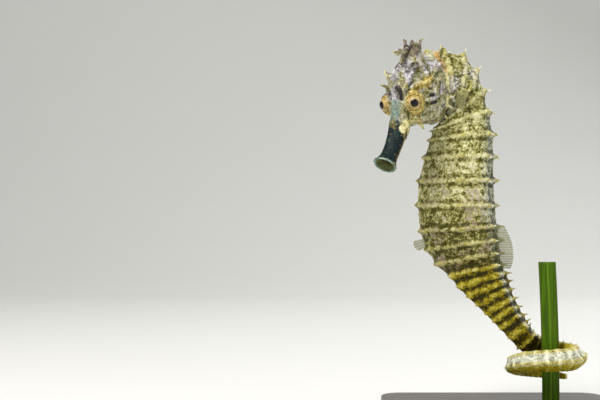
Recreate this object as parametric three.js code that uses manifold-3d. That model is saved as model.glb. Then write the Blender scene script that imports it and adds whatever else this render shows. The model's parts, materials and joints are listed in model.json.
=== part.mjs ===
// A spiny seahorse, life size, gripping a short length of eelgrass blade on a plain display stand.
// Millimetres. +X is to the right, +Y to the back and +Z up. The animal faces -X, its left flank to -Y.
// The origin lies on the underside of the base, at its middle.
import * as THREE from "three";
import Module from "manifold-3d";
import { mergeVertices } from "three/addons/utils/BufferGeometryUtils.js";

const wasm = await Module();
wasm.setup();

// ---------------------------------------------------------------- driving dimensions

// Stations of the body from the back of the head (ring 0) down to the shank of the tail. Each has the
// middle of its section, the rise of its dorsal side over the level, its turn about the upright, the half
// depth from back to belly and the half width from side to side.
const BODY_STATIONS = [
  { ring: 0, at: [-17.1, -1.2, 87.6], rise: 90, turn: -50, depth: 9.7, width: 5.1 },
  { ring: 1, at: [-13.3, -0.7, 87.0], rise: 75, turn: -36, depth: 9.2, width: 5.4 },
  { ring: 2, at: [-11.4, -0.3, 84.6], rise: 56, turn: -18, depth: 8.5, width: 5.7 },
  { ring: 3, at: [-10.6, 0, 81.6], rise: 36, turn: 0, depth: 8.1, width: 6.0 },
  { ring: 4, at: [-10.3, 0, 78.4], rise: 17, turn: 13, depth: 8.2, width: 6.2 },
  { ring: 5, at: [-10.3, 0, 74.3], rise: 4, turn: 20, depth: 8.8, width: 6.4 },
  { ring: 6, at: [-11.0, 0, 69.2], rise: 0, turn: 24, depth: 9.7, width: 6.6 },
  { ring: 7, at: [-11.7, 0, 63.0], rise: 0, turn: 24, depth: 10.6, width: 6.8 },
  { ring: 8, at: [-11.7, 0, 56.6], rise: 0, turn: 24, depth: 10.9, width: 6.8 },
  { ring: 9, at: [-11.0, 0, 50.5], rise: 4, turn: 24, depth: 10.9, width: 6.6 },
  { ring: 10, at: [-9.9, 0, 46.3], rise: 8, turn: 24, depth: 10.3, width: 6.1 },
  { ring: 11, at: [-8.5, 0, 42.7], rise: 11, turn: 24, depth: 9.1, width: 5.5 },
  { ring: 12, at: [-6.6, 0, 39.6], rise: 14, turn: 24, depth: 7.5, width: 4.7 },
  { ring: 13, at: [-4.8, 0, 37.2], rise: 18, turn: 24, depth: 6.5, width: 4.1 },
  { ring: 14, at: [-3.2, 0.1, 34.9], rise: 23, turn: 24, depth: 5.6, width: 3.7 },
  { ring: 15, at: [-1.6, 0.2, 32.7], rise: 28, turn: 24, depth: 4.8, width: 3.4 },
  { ring: 16.2, at: [0.3, 0.4, 30.0], rise: 33, turn: 24, depth: 4.0, width: 3.2 },
  { ring: 17.4, at: [2.2, 0.7, 27.5], rise: 36, turn: 24, depth: 3.5, width: 3.1 },
  { ring: 18.6, at: [4.1, 1.2, 25.0], rise: 37, turn: 24, depth: 3.1, width: 3.0 },
];

// Where the tail leaves the shank and levels out behind the coil. Its sections stand square to the tail.
const BEND_STATIONS = [
  { ring: 19.8, at: [6.1, 2.4, 22.6], dorsal: [0.62, -0.3, 0.72], half: 2.9 },
  { ring: 21.1, at: [8.6, 4.9, 20.3], dorsal: [0.4, -0.2, 0.9], half: 2.85 },
];

// The coil runs clockwise seen from above, as angles from +X, with its height and the tail's half side.
// The dorsal side leans from outward by the roll, so it is up at the back and outward at the front.
const COIL_MIDDLE = [11.5, 0];
const COIL_RADII = [7.9, 7.4];
const COIL_STATIONS = [
  { angle: 78, height: 18.4, roll: 76, half: 2.7 },
  { angle: 45, height: 17.7, roll: 66, half: 2.62 },
  { angle: 0, height: 17.3, roll: 50, half: 2.55 },
  { angle: -45, height: 17.2, roll: 34, half: 2.5 },
  { angle: -90, height: 17.1, roll: 28, half: 2.42 },
  { angle: -135, height: 16.5, roll: 24, half: 2.25 },
  { angle: -180, height: 15.1, roll: 18, half: 2.0 },
  { angle: -225, height: 13.5, roll: 12, half: 1.65 },
  { angle: -270, height: 12.4, roll: 8, half: 1.25 },
  { angle: -300, height: 11.9, roll: 6, half: 0.95 },
  { angle: -325, height: 11.6, roll: 5, half: 0.6 },
];
const RING_SPACING = { least: 0.9, perHalf: 0.66 }; // of the rings along the coil, with the tail's half side

// Corners of the section as shares of the half depth and half width, for the left side from back to belly.
const TRUNK_RIDGES = { superior: [0.93, 0.52], lateral: [0.3, 1], inferior: [-0.72, 0.56], keel: [-1, 0] };
const TAIL_RIDGES = { superior: [0.96, 0.96], lateral: [0, 0.93], inferior: [-0.96, 0.96], keel: [-0.9, 0] };
const TRUNK_FACES = { back: [0.88, 0], shoulder: [0.68, 0.83], flank: [-0.22, 0.91] };
const TAIL_FACES = { back: [0.9, 0], shoulder: [0.5, 0.96], flank: [-0.5, 0.96] };
const TRUNK_ENDS_AT = 11; // ring where the seven-sided trunk starts to turn into the four-sided tail
const TAIL_STARTS_AT = 13.5;
const FINE_TAIL_AT = 30; // past this ring the tail is thin and has fewer sections
const TAIL_THINS_AT = 19; // past this ring the spines shorten over the next SPINES_FADE rings
const SPINES_FADE = 3;
const NECK_START = 0.34; // clear of the back of the head
const RIDGE_SHOULDER = 0.12; // how far along its face a spine's foot reaches

// Heights over the plates, in millimetres.
const RING_CREST = 0.32;
const RING_VALLEY = -0.22;
const TRUNK_SPINES = { superior: 1.35, lateral: 0.9, inferior: 0.7, keel: 0.5 };
const TAIL_SPINES = { superior: 1.1, lateral: 0, inferior: 0.6, keel: 0 };
const COIL_SPINE_SHARE = 0.4; // the spines of the coil are blunt and short

// The head's own frame: x forward, y left, z up, with its origin midway between the eyes.
const HEAD_AT = [-26.63, -12.5, 82.28];
const HEAD_YAW = 50; // turned from -X toward the viewer's side, -Y
const HEAD_PITCH = -30;
const HEAD_SECTIONS = [
  { at: [-14.9, -2.6], lean: -29, up: 9.3, down: 9.5, width: 5.1, crown: 0.8 },
  { at: [-12.6, -2.2], lean: -20, up: 8.9, down: 9.3, width: 5.9, crown: 0.8 },
  { at: [-9.4, -1.3], lean: -12, up: 8.3, down: 8.8, width: 6.0, crown: 0.8 },
  { at: [-6.2, -0.8], lean: -6, up: 8.6, down: 8.0, width: 5.2, crown: 0.75 },
  { at: [-3.2, -0.5], lean: -2, up: 8.9, down: 7.1, width: 4.2, crown: 0.65 },
  { at: [-0.8, -0.6], lean: 0, up: 7.6, down: 6.4, width: 3.2, crown: 0.55 },
  { at: [1.0, -1.8], lean: 7, up: 5.9, down: 4.8, width: 2.6, crown: 0.5 },
  { at: [2.6, -3.7], lean: 17, up: 3.9, down: 3.4, width: 2.6, crown: 0.7 },
  { at: [4.1, -5.1], lean: 27, up: 2.9, down: 2.9, width: 2.6, crown: 1 },
];
const SNOUT_SECTIONS = [
  { at: [4.4, -5.25], lean: 27, up: 2.85, down: 2.85, width: 2.55, crown: 1 },
  { at: [6.4, -6.55], lean: 30, up: 2.4, down: 2.5, width: 2.25, crown: 1 },
  { at: [9.2, -8.2], lean: 30, up: 2.2, down: 2.3, width: 2.1, crown: 1 },
  { at: [11.6, -9.3], lean: 27, up: 2.25, down: 2.4, width: 2.2, crown: 1 },
  { at: [12.9, -9.8], lean: 25, up: 2.65, down: 2.8, width: 2.7, crown: 1 },
  { at: [13.7, -10.1], lean: 23, up: 3.1, down: 3.1, width: 3.2, crown: 1 },
  { at: [14.1, -10.2], lean: 23, up: 2.7, down: 2.7, width: 2.8, crown: 1 },
  { at: [13.4, -10.0], lean: 23, up: 1.9, down: 1.9, width: 1.9, crown: 1 },
  { at: [12.7, -9.8], lean: 24, up: 0.9, down: 0.9, width: 0.9, crown: 1 },
];
const HEAD_ROUND_POINTS = 16;

const EYE_OFFSET = 3.9; // from the middle plane
const EYE_RADIUS = 2.2;
const EYE_SWIVEL = { left: 50, right: 65 }; // both eyes look forward of straight out
const EYE_LIFT = 24;
const EYE_LID_THICKNESS = 0.4;
const EYE_GAP = 0.25;
const EYE_FACETS = [12, 8]; // round the eyeball and from pole to pole
const EYE_EXPOSED_FROM = 0.7; // distance of the lid's edge from the eyeball's middle

const CORONET_FOOT = [-9.4, 0, 6.6];
const CORONET_TOP = [-12.0, 0, 11.3];
const CORONET_RADII = { foot: 3.4, waist: 2.35, top: 2.7 };
const CORONET_FOOT_LENGTH = 1.5; // how much of the column belongs to the skull
const CORONET_GAP = 0.32;
const CORONET_TIPS = [
  { azimuth: 0, reach: 8.2, drop: 2.75 },
  { azimuth: 62, reach: 2.6, drop: 0.3 },
  { azimuth: 125, reach: 2.5, drop: -0.9 },
  { azimuth: 215, reach: 2.6, drop: -1.1 },
  { azimuth: -65, reach: 2.1, drop: -0.8 },
];
const CORONET_TIP = { foot: 1.15, neck: 0.45, ball: 0.5, buried: 1.0 }; // radii, and the reach it starts at
const CORONET_SIDES = 8;

// Spines of bone on the head: foot and tip in the head's frame, with the radius of the foot.
const HEAD_SPINE_TIP = 0.22;
const HEAD_SPINES = [
  { foot: [-17.2, 1.8, 3.9], tip: [-20.0, 2.6, 6.3], radius: 0.9 },
  { foot: [-17.2, -1.8, 3.9], tip: [-18.6, -2.2, 5.9], radius: 0.8 },
  { foot: [-0.9, 2.0, -3.9], tip: [-0.5, 4.0, -7.7], radius: 1.2 },
  { foot: [-0.9, -2.0, -3.9], tip: [-0.5, -4.0, -7.7], radius: 1.2 },
  { foot: [-0.8, 2.2, 3.6], tip: [0.9, 3.2, 5.6], radius: 0.9 },
  { foot: [-0.8, -2.2, 3.6], tip: [1.6, -3.1, 6.4], radius: 0.9 },
  { foot: [-10.2, 3.4, -7.6], tip: [-9.9, 4.8, -9.7], radius: 0.9 },
  { foot: [-10.2, -3.4, -7.6], tip: [-9.9, -4.8, -9.7], radius: 0.9 },
  { foot: [-11.4, 4.4, -5.8], tip: [-11.6, 6.2, -7.7], radius: 0.8 },
  { foot: [-11.4, -4.4, -5.8], tip: [-11.6, -6.2, -7.7], radius: 0.8 },
];
const NOSE_SPINE = {
  back: [-2.6, 5.8],
  backBend: [0.2, 7.4],
  tip: [2.3, 10.2],
  frontBend: [2.2, 6.8],
  front: [2.6, 3.2],
  thickness: 0.9,
  tipWidth: 0.7,
};

const FIN_THICKNESS = 0.6;
const FIN_GAP = 0.6;
const DORSAL_FIN = { from: 8.8, to: 12.2, height: 3.2, rays: 12, sweep: 0.4 };
const ANAL_FIN = { from: 9.36, to: 9.8, height: 1.5, rays: 4, sweep: 0.25 };
const PECTORAL_FIN = { foot: 0.5, tip: 1.6, span: 3.0, spread: 1.9, rays: 8, off: 1.5, flare: 2.1 };

const JOINT_GAP = 0.36; // thin cut between neighbouring lengths of the body
const BENT_JOINT_GAP = 0.6; // the same where the body bends, measured along its middle line

const BASE = { length: 60, breadth: 46, height: 5, corner: 6, bevel: 0.6 };
const ROD = { radius: 1.0, at: [13.4, 0.7], top: 26.5, sink: 0.3, sides: 16 };
const BLADE = { at: [12.95, -1.45], width: 4.5, thickness: 0.6, bow: 0.24, lean: 1.0, steps: 5 };
const BLADE_HEIGHTS = { bottom: 5.3, top: 42 };

// ---------------------------------------------------------------- small helpers

const rad = (degrees) => (degrees * Math.PI) / 180;
const mix = (a, b, share) => a + (b - a) * share;
const clamp = (value) => Math.min(1, Math.max(0, value));
const vector = (numbers) => new THREE.Vector3(...numbers);

// Smooth value through the stations at a place along them, by cubic pieces with slopes from the neighbours.
function through(knots, values, place) {
  const last = knots.length - 1;
  let i = 0;
  while (i < last - 1 && place > knots[i + 1]) i += 1;
  const slopeAt = (k) => {
    const a = Math.max(0, k - 1);
    const b = Math.min(last, k + 1);
    return (values[b] - values[a]) / (knots[b] - knots[a]);
  };
  const run = knots[i + 1] - knots[i];
  const t = (place - knots[i]) / run;
  const t2 = t * t;
  const t3 = t2 * t;
  return (
    (2 * t3 - 3 * t2 + 1) * values[i] +
    (t3 - 2 * t2 + t) * run * slopeAt(i) +
    (3 * t2 - 2 * t3) * values[i + 1] +
    (t3 - t2) * run * slopeAt(i + 1)
  );
}

// One closed surface through rings of as many points each, with a fan over each end.
function loft(rings) {
  const count = rings[0].length;
  const middle = (ring) => ring.reduce((sum, p) => sum.add(p), new THREE.Vector3()).divideScalar(count);
  const points = rings.flat().concat([middle(rings[0]), middle(rings.at(-1))]);
  const faces = [];
  for (let r = 0; r + 1 < rings.length; r += 1) {
    for (let i = 0; i < count; i += 1) {
      const a = r * count + i;
      const b = r * count + ((i + 1) % count);
      faces.push(a, b, b + count, a, b + count, a + count);
    }
  }
  const first = points.length - 2;
  const lastRing = (rings.length - 1) * count;
  for (let i = 0; i < count; i += 1) {
    const next = (i + 1) % count;
    faces.push(first, next, i, first + 1, lastRing + i, lastRing + next);
  }
  const geometry = new THREE.BufferGeometry();
  geometry.setAttribute("position", new THREE.Float32BufferAttribute(points.flatMap((p) => p.toArray()), 3));
  geometry.setIndex(faces);
  return faceOutward(geometry);
}

// Turns every triangle round when the surface encloses a negative volume.
function faceOutward(geometry) {
  const place = geometry.getAttribute("position");
  const index = geometry.getIndex().array;
  const corners = [0, 1, 2].map(() => new THREE.Vector3());
  let volume = 0;
  for (let i = 0; i < index.length; i += 3) {
    corners.forEach((corner, k) => corner.fromBufferAttribute(place, index[i + k]));
    volume += corners[0].dot(corners[1].clone().cross(corners[2]));
  }
  if (volume < 0) {
    for (let i = 0; i < index.length; i += 3) [index[i + 1], index[i + 2]] = [index[i + 2], index[i + 1]];
  }
  geometry.computeVertexNormals();
  return geometry;
}

function solidOf(geometry) {
  const bare = geometry.clone();
  bare.deleteAttribute("normal");
  bare.deleteAttribute("uv");
  const merged = mergeVertices(bare, 1e-4);
  return new wasm.Manifold(
    new wasm.Mesh({
      numProp: 3,
      vertProperties: new Float32Array(merged.getAttribute("position").array),
      triVerts: new Uint32Array(merged.getIndex().array),
    }),
  );
}

function geometryOf(solid) {
  const mesh = solid.getMesh();
  const geometry = new THREE.BufferGeometry();
  geometry.setAttribute("position", new THREE.BufferAttribute(Float32Array.from(mesh.vertProperties), 3));
  geometry.setIndex(Array.from(mesh.triVerts));
  geometry.computeVertexNormals();
  return geometry;
}

const joined = (geometries) => geometries.map(solidOf).reduce((sum, solid) => sum.add(solid));

// A cone or cylinder from one point to another.
function tapered(from, to, footRadius, tipRadius, sides) {
  const axis = to.clone().sub(from);
  const geometry = new THREE.CylinderGeometry(tipRadius, footRadius, axis.length(), sides);
  geometry.translate(0, axis.length() / 2, 0);
  const upright = new THREE.Vector3(0, 1, 0);
  const turn = new THREE.Quaternion().setFromUnitVectors(upright, axis.clone().normalize());
  return geometry.applyQuaternion(turn).translate(...from.toArray());
}

function ball(at, radius, detail = [12, 8]) {
  return new THREE.SphereGeometry(radius, ...detail).translate(...at.toArray());
}

// ---------------------------------------------------------------- the body's run from head to tail tip

// Basis of a section: dorsal, left and tailward.
function bodyFrame(station) {
  const rise = rad(station.rise);
  const turn = rad(station.turn);
  const left = new THREE.Vector3(-Math.sin(turn), -Math.cos(turn), 0);
  const level = new THREE.Vector3(Math.cos(turn), -Math.sin(turn), 0);
  const dorsal = level.multiplyScalar(Math.cos(rise)).setZ(Math.sin(rise));
  return { dorsal, left, tailward: dorsal.clone().cross(left) };
}

function coilStations(firstRing, from) {
  let ring = firstRing;
  let before = vector(from);
  return COIL_STATIONS.map((station) => {
    const angle = rad(station.angle);
    const roll = rad(station.roll);
    const outward = new THREE.Vector3(Math.cos(angle), Math.sin(angle), 0);
    const at = new THREE.Vector3(
      COIL_MIDDLE[0] + COIL_RADII[0] * outward.x,
      COIL_MIDDLE[1] + COIL_RADII[1] * outward.y,
      station.height,
    );
    ring += at.distanceTo(before) / (RING_SPACING.least + RING_SPACING.perHalf * station.half);
    before = at;
    const dorsal = outward.multiplyScalar(Math.cos(roll)).add(new THREE.Vector3(0, 0, Math.sin(roll)));
    return { ring, at: at.toArray(), dorsal: dorsal.toArray(), half: station.half };
  });
}

// All stations with the quaternion of their section. Those without a rise and turn stand square to the run.
function allStations() {
  const bend = BEND_STATIONS.at(-1);
  const list = [...BODY_STATIONS, ...BEND_STATIONS, ...coilStations(bend.ring, bend.at)];
  return list.map((station, i) => {
    let frame;
    if (station.rise === undefined) {
      const before = vector(list[i - 1].at);
      const after = vector(list[Math.min(list.length - 1, i + 1)].at);
      const tailward = after.sub(before).normalize();
      const hint = vector(station.dorsal);
      const dorsal = hint.addScaledVector(tailward, -hint.dot(tailward)).normalize();
      frame = { dorsal, left: tailward.clone().cross(dorsal), tailward };
    } else {
      frame = bodyFrame(station);
    }
    const basis = new THREE.Matrix4().makeBasis(frame.dorsal, frame.left, frame.tailward);
    return {
      ring: station.ring,
      at: station.at,
      turn: new THREE.Quaternion().setFromRotationMatrix(basis),
      depth: station.depth ?? station.half,
      width: station.width ?? station.half,
    };
  });
}

const STATIONS = allStations();
const KNOTS = STATIONS.map((station) => station.ring);
const LAST_RING = KNOTS.at(-1);

const smooth = (pick, ring) => through(KNOTS, STATIONS.map(pick), ring);

// The section at a place along the body, in rings from the head.
function sectionAt(ring) {
  let i = 0;
  while (i < KNOTS.length - 2 && ring > KNOTS[i + 1]) i += 1;
  const share = (ring - KNOTS[i]) / (KNOTS[i + 1] - KNOTS[i]);
  return {
    at: new THREE.Vector3(...[0, 1, 2].map((axis) => smooth((station) => station.at[axis], ring))),
    turn: STATIONS[i].turn.clone().slerp(STATIONS[i + 1].turn, clamp(share)),
    depth: smooth((station) => station.depth, ring),
    width: smooth((station) => station.width, ring),
  };
}

// How square the section is: 0 on the trunk, 1 on the tail.
function tailShare(ring) {
  const t = clamp((ring - TRUNK_ENDS_AT) / (TAIL_STARTS_AT - TRUNK_ENDS_AT));
  return t * t * (3 - 2 * t);
}

// Corners round the section in order, from the middle of the back down the left side and up the right.
// The plain tail has four ridges and one point on each face between them.
function cornersAt(ring, plain) {
  const share = plain ? 1 : tailShare(ring);
  const blend = (trunk, tail) => [mix(trunk[0], tail[0], share), mix(trunk[1], tail[1], share)];
  const ridge = (name) => ({ name, spot: blend(TRUNK_RIDGES[name], TAIL_RIDGES[name]) });
  const face = (name) => ({ name, spot: blend(TRUNK_FACES[name], TAIL_FACES[name]) });
  const plate = (name) => ({ name: "plate", spot: TAIL_RIDGES[name] });
  const plainSide = () => [ridge("superior"), plate("lateral"), ridge("inferior")];
  const fullSide = () => [
    ridge("superior"),
    face("shoulder"),
    ridge("lateral"),
    face("flank"),
    ridge("inferior"),
  ];
  const side = plain ? plainSide() : fullSide();
  const mirrored = side.map(({ name, spot }) => ({ name, spot: [spot[0], -spot[1]] })).reverse();
  return [face("back"), ...side, plain ? plate("keel") : ridge("keel"), ...mirrored];
}

function spineLength(name, ring) {
  if (!(name in TRUNK_SPINES)) return 0;
  const full = mix(TRUNK_SPINES[name], TAIL_SPINES[name], tailShare(ring));
  const coiled = mix(1, COIL_SPINE_SHARE, clamp((ring - TAIL_THINS_AT) / SPINES_FADE));
  const half = smooth((station) => station.width, ring);
  return full * coiled * clamp(half / 2.4);
}

// Height of the rings over the plates: a crest at each whole number, a valley between.
function ringHeight(ring) {
  const away = Math.abs(ring - Math.round(ring)) * 2;
  const size = clamp(smooth((station) => station.width, ring) / 4);
  return mix(RING_CREST, RING_VALLEY, Math.sqrt(away)) * size;
}

// Points round the section. A spine stands on every ridge where it crosses the crest of a ring.
function ringPoints(ring, plain) {
  const section = sectionAt(ring);
  const corners = cornersAt(ring, plain);
  const crest = clamp(1 - Math.abs(ring - Math.round(ring)) / 0.16);
  const height = ringHeight(ring);
  const points = [];
  const put = (spot, lift) => {
    const flat = new THREE.Vector3(spot[0] * section.depth, spot[1] * section.width, 0);
    flat.setLength(Math.max(0.2, flat.length() + lift));
    points.push(flat.applyQuaternion(section.turn).add(section.at));
  };
  corners.forEach((corner, i) => {
    const isRidge = corner.name in TRUNK_SPINES;
    if (!isRidge) {
      put(corner.spot, height);
      return;
    }
    const towards = (other) => [0, 1].map((k) => mix(corner.spot[k], other.spot[k], RIDGE_SHOULDER));
    const before = corners[i - 1];
    const after = corners[(i + 1) % corners.length];
    put(towards(before), height);
    put(corner.spot, height + crest * spineLength(corner.name, ring));
    put(towards(after), height);
  });
  return points;
}

// Places of the sections between two cuts: at each crest, close to both sides of it and in each valley.
function sectionPlaces(from, to, plain) {
  const places = [from];
  for (let ring = Math.floor(from); ring <= Math.ceil(to); ring += 1) {
    let offsets = [-0.16, 0, 0.16, 0.5];
    if (plain) offsets = ring > FINE_TAIL_AT ? [0, 0.5] : [-0.25, 0, 0.25];
    for (const offset of offsets) {
      const place = ring + offset;
      if (place > from + 0.08 && place < to - 0.08) places.push(place);
    }
  }
  return [...places, to];
}

// One length of the body between two cuts, half a gap inside each.
function bodyLength(from, to, gap) {
  const speedAt = (ring) => {
    const step = 0.05;
    const before = sectionAt(Math.max(0, ring - step)).at;
    return sectionAt(Math.min(LAST_RING, ring + step)).at.distanceTo(before) / (2 * step);
  };
  const start = from === 0 ? NECK_START : from + gap / 2 / speedAt(from);
  const end = to >= LAST_RING ? LAST_RING : to - gap / 2 / speedAt(to);
  const plain = from > TAIL_STARTS_AT;
  return loft(sectionPlaces(start, end, plain).map((ring) => ringPoints(ring, plain)));
}

// ---------------------------------------------------------------- the head

const headTurn = (() => {
  const yaw = rad(HEAD_YAW);
  const pitch = rad(HEAD_PITCH);
  const ahead = new THREE.Vector3(-Math.cos(yaw), -Math.sin(yaw), 0);
  const up = new THREE.Vector3(0, 0, 1);
  const left = up.clone().cross(ahead);
  const forward = ahead.clone().multiplyScalar(Math.cos(pitch)).addScaledVector(up, Math.sin(pitch));
  const crown = ahead.clone().multiplyScalar(-Math.sin(pitch)).addScaledVector(up, Math.cos(pitch));
  return new THREE.Matrix4().makeBasis(forward, left, crown);
})();
const headPlace = new THREE.Matrix4().makeTranslation(...HEAD_AT).multiply(headTurn);

// An egg-shaped section of the head, leaning about the left-right axis and narrower toward the crown.
function headRing(section) {
  const lean = rad(section.lean);
  const points = [];
  for (let i = 0; i < HEAD_ROUND_POINTS; i += 1) {
    const angle = (2 * Math.PI * i) / HEAD_ROUND_POINTS;
    const rise = Math.cos(angle);
    const high = rise * (rise > 0 ? section.up : section.down);
    const width = section.width * mix(1, section.crown, clamp(rise));
    points.push(
      new THREE.Vector3(
        section.at[0] + high * Math.sin(lean),
        width * Math.sin(angle),
        section.at[1] + high * Math.cos(lean),
      ),
    );
  }
  return points;
}

function eyeAt(side) {
  return new THREE.Vector3(0, side === "left" ? EYE_OFFSET : -EYE_OFFSET, 0);
}

// Direction of the gaze: swivelled forward from straight out and lifted a little.
function gazeOf(side) {
  const swivel = rad(EYE_SWIVEL[side]);
  const out = side === "left" ? 1 : -1;
  const lift = rad(EYE_LIFT);
  return new THREE.Vector3(
    Math.sin(swivel) * Math.cos(lift),
    out * Math.cos(swivel) * Math.cos(lift),
    Math.sin(lift),
  ).normalize();
}

// The lid is a thick shell round the eyeball, cut open square to the gaze.
function withEyeSockets(head) {
  let result = head;
  for (const side of ["left", "right"]) {
    const at = eyeAt(side);
    const gaze = gazeOf(side);
    const lidRadius = EYE_RADIUS + EYE_GAP + EYE_LID_THICKNESS;
    result = result.add(solidOf(ball(at, lidRadius, EYE_FACETS)));
    const from = at.clone().addScaledVector(gaze, EYE_EXPOSED_FROM);
    const far = from.clone().addScaledVector(gaze, lidRadius * 2);
    result = result.subtract(solidOf(tapered(from, far, lidRadius, lidRadius * 1.4, 12)));
  }
  for (const side of ["left", "right"]) {
    result = result.subtract(solidOf(ball(eyeAt(side), EYE_RADIUS + EYE_GAP, EYE_FACETS)));
  }
  return result;
}

// The line up the middle of the coronet's column.
const coronetAxis = () => vector(CORONET_TOP).sub(vector(CORONET_FOOT));

// A point of the coronet's column: a distance up its axis, and a reach out at an azimuth from the front.
function coronetPoint(height, azimuth, reach) {
  const axis = coronetAxis().normalize();
  const side = new THREE.Vector3(0, 1, 0);
  const front = side.clone().cross(axis);
  const angle = rad(azimuth);
  return vector(CORONET_FOOT)
    .addScaledVector(axis, height)
    .addScaledVector(front, reach * Math.cos(angle))
    .addScaledVector(side, reach * Math.sin(angle));
}

function coronetRing(height, radius) {
  const azimuthOf = (i) => (360 * i) / CORONET_SIDES;
  return Array.from({ length: CORONET_SIDES }, (_, i) => coronetPoint(height, azimuthOf(i), radius));
}

// The column's radius: wide at the foot, narrow at the waist, flared at the crown.
function coronetRadius(height) {
  const share = height / coronetAxis().length();
  const { foot, waist, top } = CORONET_RADII;
  return share < 0.6 ? mix(foot, waist, share / 0.6) : mix(waist, top, (share - 0.6) / 0.4);
}

// The blade of bone on the middle line of the snout's root: a flat outline in x and z, given a thickness.
function noseSpine() {
  const { back, backBend, tip, frontBend, front, thickness, tipWidth } = NOSE_SPINE;
  const shape = new THREE.Shape();
  shape.moveTo(...back);
  shape.quadraticCurveTo(...backBend, tip[0] - tipWidth / 2, tip[1]);
  shape.lineTo(tip[0] + tipWidth / 2, tip[1]);
  shape.quadraticCurveTo(...frontBend, ...front);
  shape.closePath();
  const options = { depth: thickness, bevelEnabled: false, curveSegments: 4 };
  const plate = new THREE.ExtrudeGeometry(shape, options);
  return plate.translate(0, 0, -thickness / 2).rotateX(Math.PI / 2);
}

// The skull with its spines and the foot of the coronet, cut for the coronet and the eyes.
function headGeometry() {
  const skull = loft(HEAD_SECTIONS.map(headRing));
  const spines = HEAD_SPINES.map(({ foot, tip, radius }) =>
    tapered(vector(foot), vector(tip), radius, HEAD_SPINE_TIP, 5),
  );
  const footTop = CORONET_FOOT_LENGTH - CORONET_GAP;
  const columnRing = (height) => coronetRing(height, coronetRadius(Math.max(0, height)));
  const roomRing = (height) => coronetRing(height, coronetRadius(height) + 2 * CORONET_GAP);
  const column = loft([-3, 0, footTop].map(columnRing));
  const room = loft([footTop, 4, 8].map(roomRing));
  const bone = joined([skull, column, ...spines]).subtract(solidOf(room)).add(solidOf(noseSpine()));
  return geometryOf(withEyeSockets(bone)).applyMatrix4(headPlace);
}

function coronetGeometry() {
  const tall = coronetAxis().length();
  const heights = [CORONET_FOOT_LENGTH, tall * 0.6, tall];
  const column = loft(heights.map((height) => coronetRing(height, coronetRadius(height))));
  const pieces = [column];
  for (const { azimuth, reach, drop } of CORONET_TIPS) {
    const from = coronetPoint(tall - Math.max(0.9, drop), azimuth, CORONET_TIP.buried);
    const tip = coronetPoint(tall - drop, azimuth, reach);
    pieces.push(tapered(from, tip, CORONET_TIP.foot, CORONET_TIP.neck, 5));
    pieces.push(ball(tip, CORONET_TIP.ball, [5, 3]));
  }
  return geometryOf(joined(pieces)).applyMatrix4(headPlace);
}

// ---------------------------------------------------------------- fins

// A thin plate between a foot line and a tip line, of an even thickness.
function finPlate(feet, tips) {
  const rings = feet.map((foot, i) => {
    const before = feet[Math.max(0, i - 1)];
    const after = feet[Math.min(feet.length - 1, i + 1)];
    const along = after.clone().sub(before);
    const out = tips[i].clone().sub(foot);
    const normal = along.cross(out).setLength(FIN_THICKNESS / 2);
    return [
      foot.clone().add(normal),
      tips[i].clone().add(normal),
      tips[i].clone().sub(normal),
      foot.clone().sub(normal),
    ];
  });
  return loft(rings);
}

// A fin on the middle line of the back or belly, its rays swept toward the tail.
function medianFin({ from, to, height, rays, sweep }, out) {
  const feet = [];
  const tips = [];
  for (let i = 0; i <= rays; i += 1) {
    const share = i / rays;
    const ring = mix(from, to, share);
    const section = sectionAt(ring);
    const later = sectionAt(ring + sweep);
    const dorsal = new THREE.Vector3(out, 0, 0).applyQuaternion(section.turn);
    const reach = section.depth * (out > 0 ? 0.88 : 1) + RING_CREST + FIN_GAP;
    const foot = section.at.clone().addScaledVector(dorsal, reach);
    const shift = later.at.clone().sub(section.at);
    const rise = height * Math.pow(Math.sin(Math.PI * mix(0.12, 0.94, share)), 0.5);
    feet.push(foot);
    tips.push(foot.clone().addScaledVector(dorsal, rise).add(shift.multiplyScalar(0.4 + 0.6 * share)));
  }
  return finPlate(feet, tips);
}

// A small fan behind the gill cover, lying back along the neck.
function pectoralFin(side) {
  const { foot, tip, span, spread, rays, off, flare } = PECTORAL_FIN;
  const out = side === "left" ? 1 : -1;
  const besideBody = (ring, share, away, wide) => {
    const section = sectionAt(ring);
    const across = new THREE.Vector3(share * wide - 0.36 * section.depth, out * (section.width + away), 0);
    return across.applyQuaternion(section.turn).add(section.at);
  };
  const feet = [];
  const tips = [];
  for (let i = 0; i <= rays; i += 1) {
    const share = i / rays - 0.5;
    feet.push(besideBody(foot, share, off, span));
    tips.push(besideBody(tip - 0.9 * share * share, share, flare, span * spread));
  }
  return finPlate(feet, tips);
}

// ---------------------------------------------------------------- perch and stand

// The blade is a shallow channel that leans a little as it rises.
function bladeGeometry() {
  const rings = [];
  for (let i = 0; i <= BLADE.steps; i += 1) {
    const share = i / BLADE.steps;
    const height = mix(BLADE_HEIGHTS.bottom, BLADE_HEIGHTS.top, share);
    const shift = BLADE.lean * share * share;
    const across = [-0.5, -0.25, 0, 0.25, 0.5];
    const front = across.map(
      (part) =>
        new THREE.Vector3(
          BLADE.at[0] - shift + part * BLADE.width,
          BLADE.at[1] - BLADE.bow * (1 - 4 * part * part),
          height,
        ),
    );
    const back = front.map((p) => p.clone().add(new THREE.Vector3(0, BLADE.thickness, 0))).reverse();
    rings.push([...front, ...back]);
  }
  return loft(rings);
}

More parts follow.
